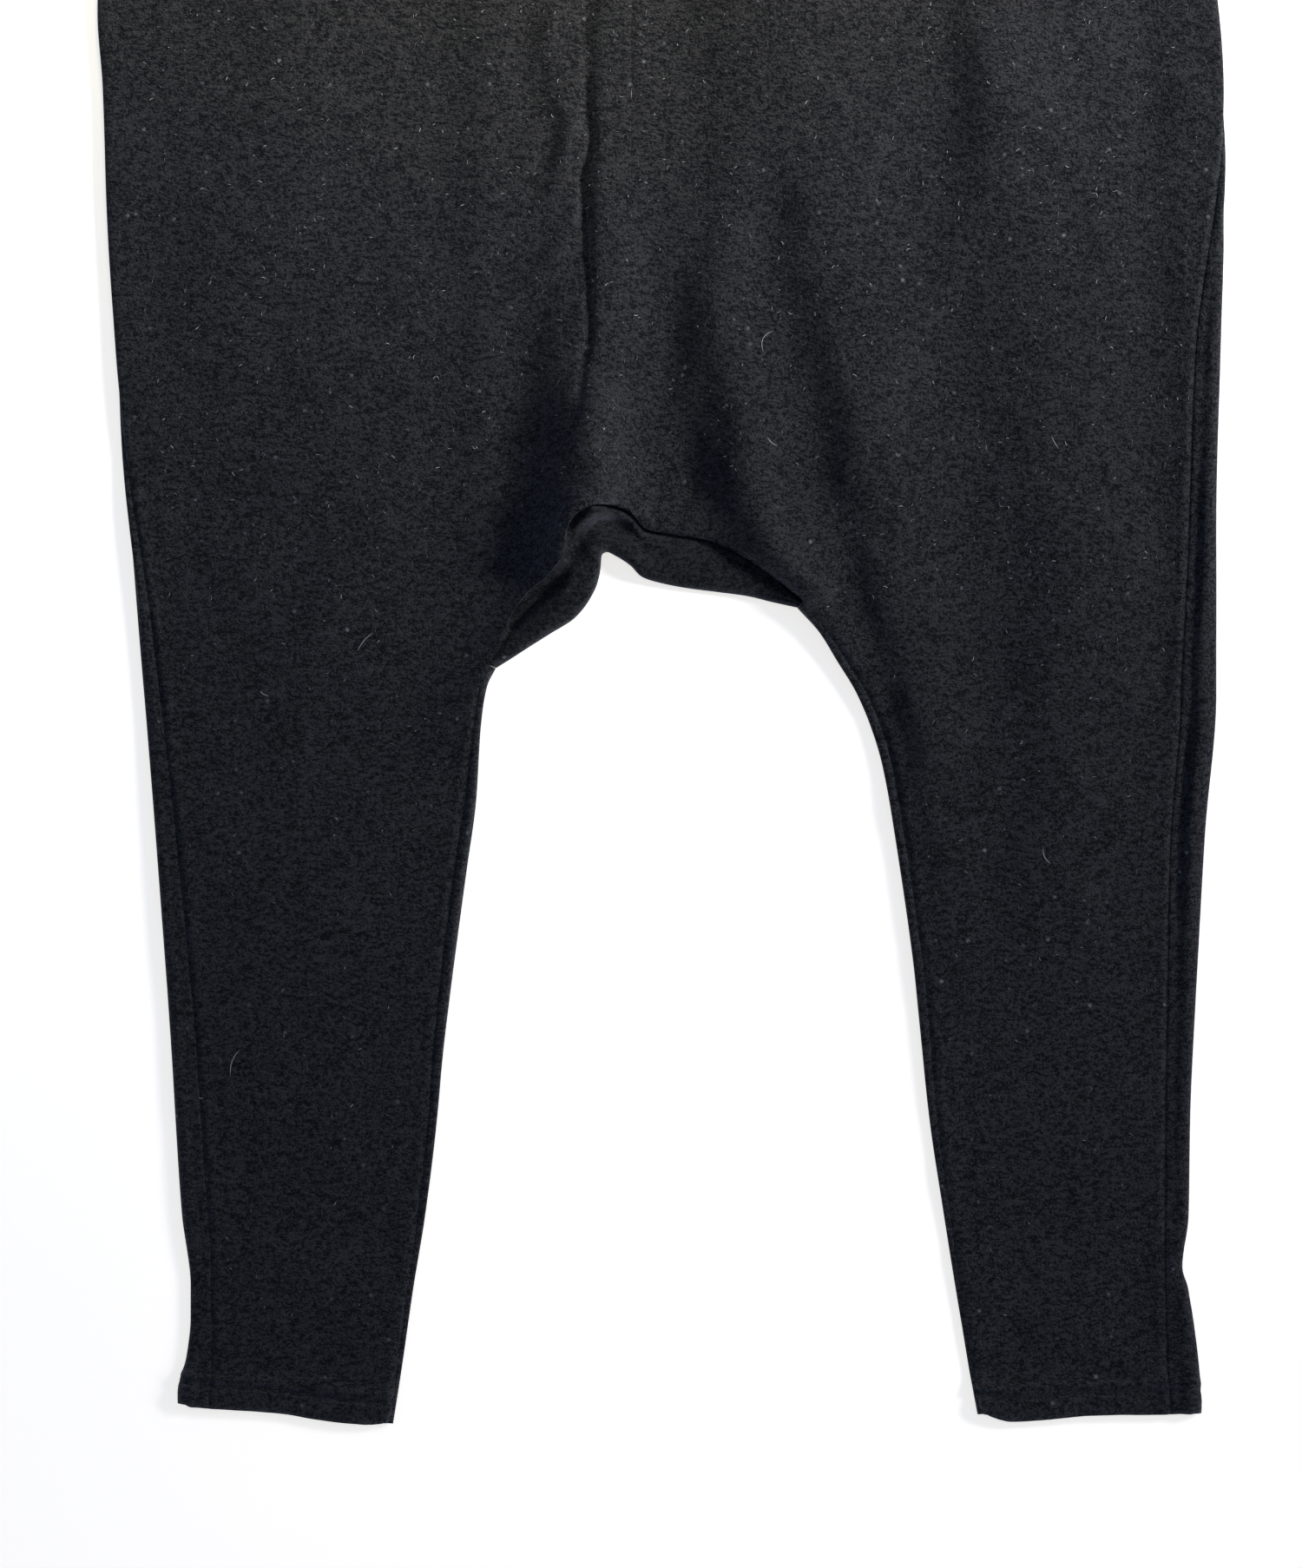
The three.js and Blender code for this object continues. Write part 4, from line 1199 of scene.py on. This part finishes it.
def camera():
    """It looks straight down on the photograph's part of the garment."""
    data = bpy.data.cameras.new("camera")
    data.sensor_fit = "VERTICAL"
    data.sensor_height = SENSOR
    data.lens = SENSOR * (CAMERA_HEIGHT - FLAT) / FRAME_HEIGHT
    data.clip_end = 20
    seen = add_object("camera", data)
    seen.location = Vector((*FRAME_CENTRE, CAMERA_HEIGHT)) * MM
    bpy.context.scene.camera = seen


def floor():
    """The pale table that the garment lies on."""
    mesh = bpy.data.meshes.new("floor")
    corners = [(x, y, TABLE_TOP) for x, y in ((-4, -4), (4, -4), (4, 4), (-4, 4))]
    mesh.from_pydata(corners, [], [(0, 1, 2, 3)])
    table_top = add_object("floor", mesh)
    values = {
        "Base Color": (0.9, 0.9, 0.9, 1),
        "Roughness": 0.8,
        "Emission Color": (1, 0.965, 0.9, 1),
        "Emission Strength": 0.74,
    }
    material = plain_material("pale_table", values)
    mesh.materials.append(material)


def spot_light(name, place, target, radius, power, colour, cone, soft):
    """A soft lamp, in metres and watts, with its cone in degrees."""
    data = bpy.data.lights.new(name, "SPOT")
    data.shadow_soft_size = radius
    data.energy = power
    data.color = colour
    data.spot_size = math.radians(cone)
    data.spot_blend = soft
    light = add_object(name, data)
    light.location = place
    light.rotation_euler = (Vector(target) - Vector(place)).to_track_quat("-Z", "Y").to_euler()


KNIT = knit_material("black_brushed_knit", (0.044, 0.0435, 0.0462), 0.003)
# the gusset's smooth knit is darker than the brushed knit: partly because it is a smoother cloth of
# its own, and partly as painted shade for the gusset in the crotch
SMOOTH_KNIT_PAINTED_DARKER = knit_material("black_smooth_knit_painted_darker", (0.031, 0.0325, 0.0345), 0.001)
LINT = plain_material("pale_lint", {"Base Color": (0.42, 0.43, 0.45, 1), "Roughness": 0.9})
THREAD_BLACK = plain_material(
    "black_thread", {"Base Color": (0.012, 0.012, 0.014, 1), "Roughness": 0.45}
)
extras = {}
for half, word in ((LEFT, "left"), (RIGHT, "right")):
    rows = rows_for(half)
    for make, side in ((front_points, "front"), (back_points, "back")):
        panel = make(rows)
        piece, outer = cloth(f"{side}_cloth_{word}", panel)
        dress(piece, KNIT, f"{side}_{word}")
        if side == "front":
            stitches = hem_stitches(f"hem_stitches_{word}", panel, outer)
            add_to(stitches, THREAD_BLACK)
            extras[f"front_{word}"] = [stitches]

gusset = crotch_gusset()
# the gusset takes the smooth knit that is darkened with painted shade
dress(gusset, SMOOTH_KNIT_PAINTED_DARKER, "crotch_gusset")
band = waistband()
dress(band, KNIT, "waistband")
fibres = lint()
add_to(fibres, LINT)
extras["front_right"].append(fibres)

camera()
floor()
# light from the wearer's left, a warmer one from the waist, a weak one on the legs and a cool
# sky all round
world = bpy.data.worlds.new("studio")
world.use_nodes = True
put(world.node_tree.nodes["Background"], {"Color": (0.52, 0.68, 1.0, 1), "Strength": 0.235})
scene.world = world
scene.view_settings.view_transform = "Standard"
spot_light("key", (2.9, 0.5, 1.5), (0.1, 0.5, 0.0), 0.5, 775, (1.0, 0.98, 0.97), 20.8, 0.15)
spot_light("top", (0.1, 1.5, 0.8), (0.0, 0.9, 0.0), 0.14, 112, (1.0, 0.89, 0.4), 46, 0.4)
spot_light("legs", (1.5, 0.35, 1.1), (-0.1, -0.7, 0.0), 0.2, 59, (1.0, 0.92, 0.95), 24, 0.6)
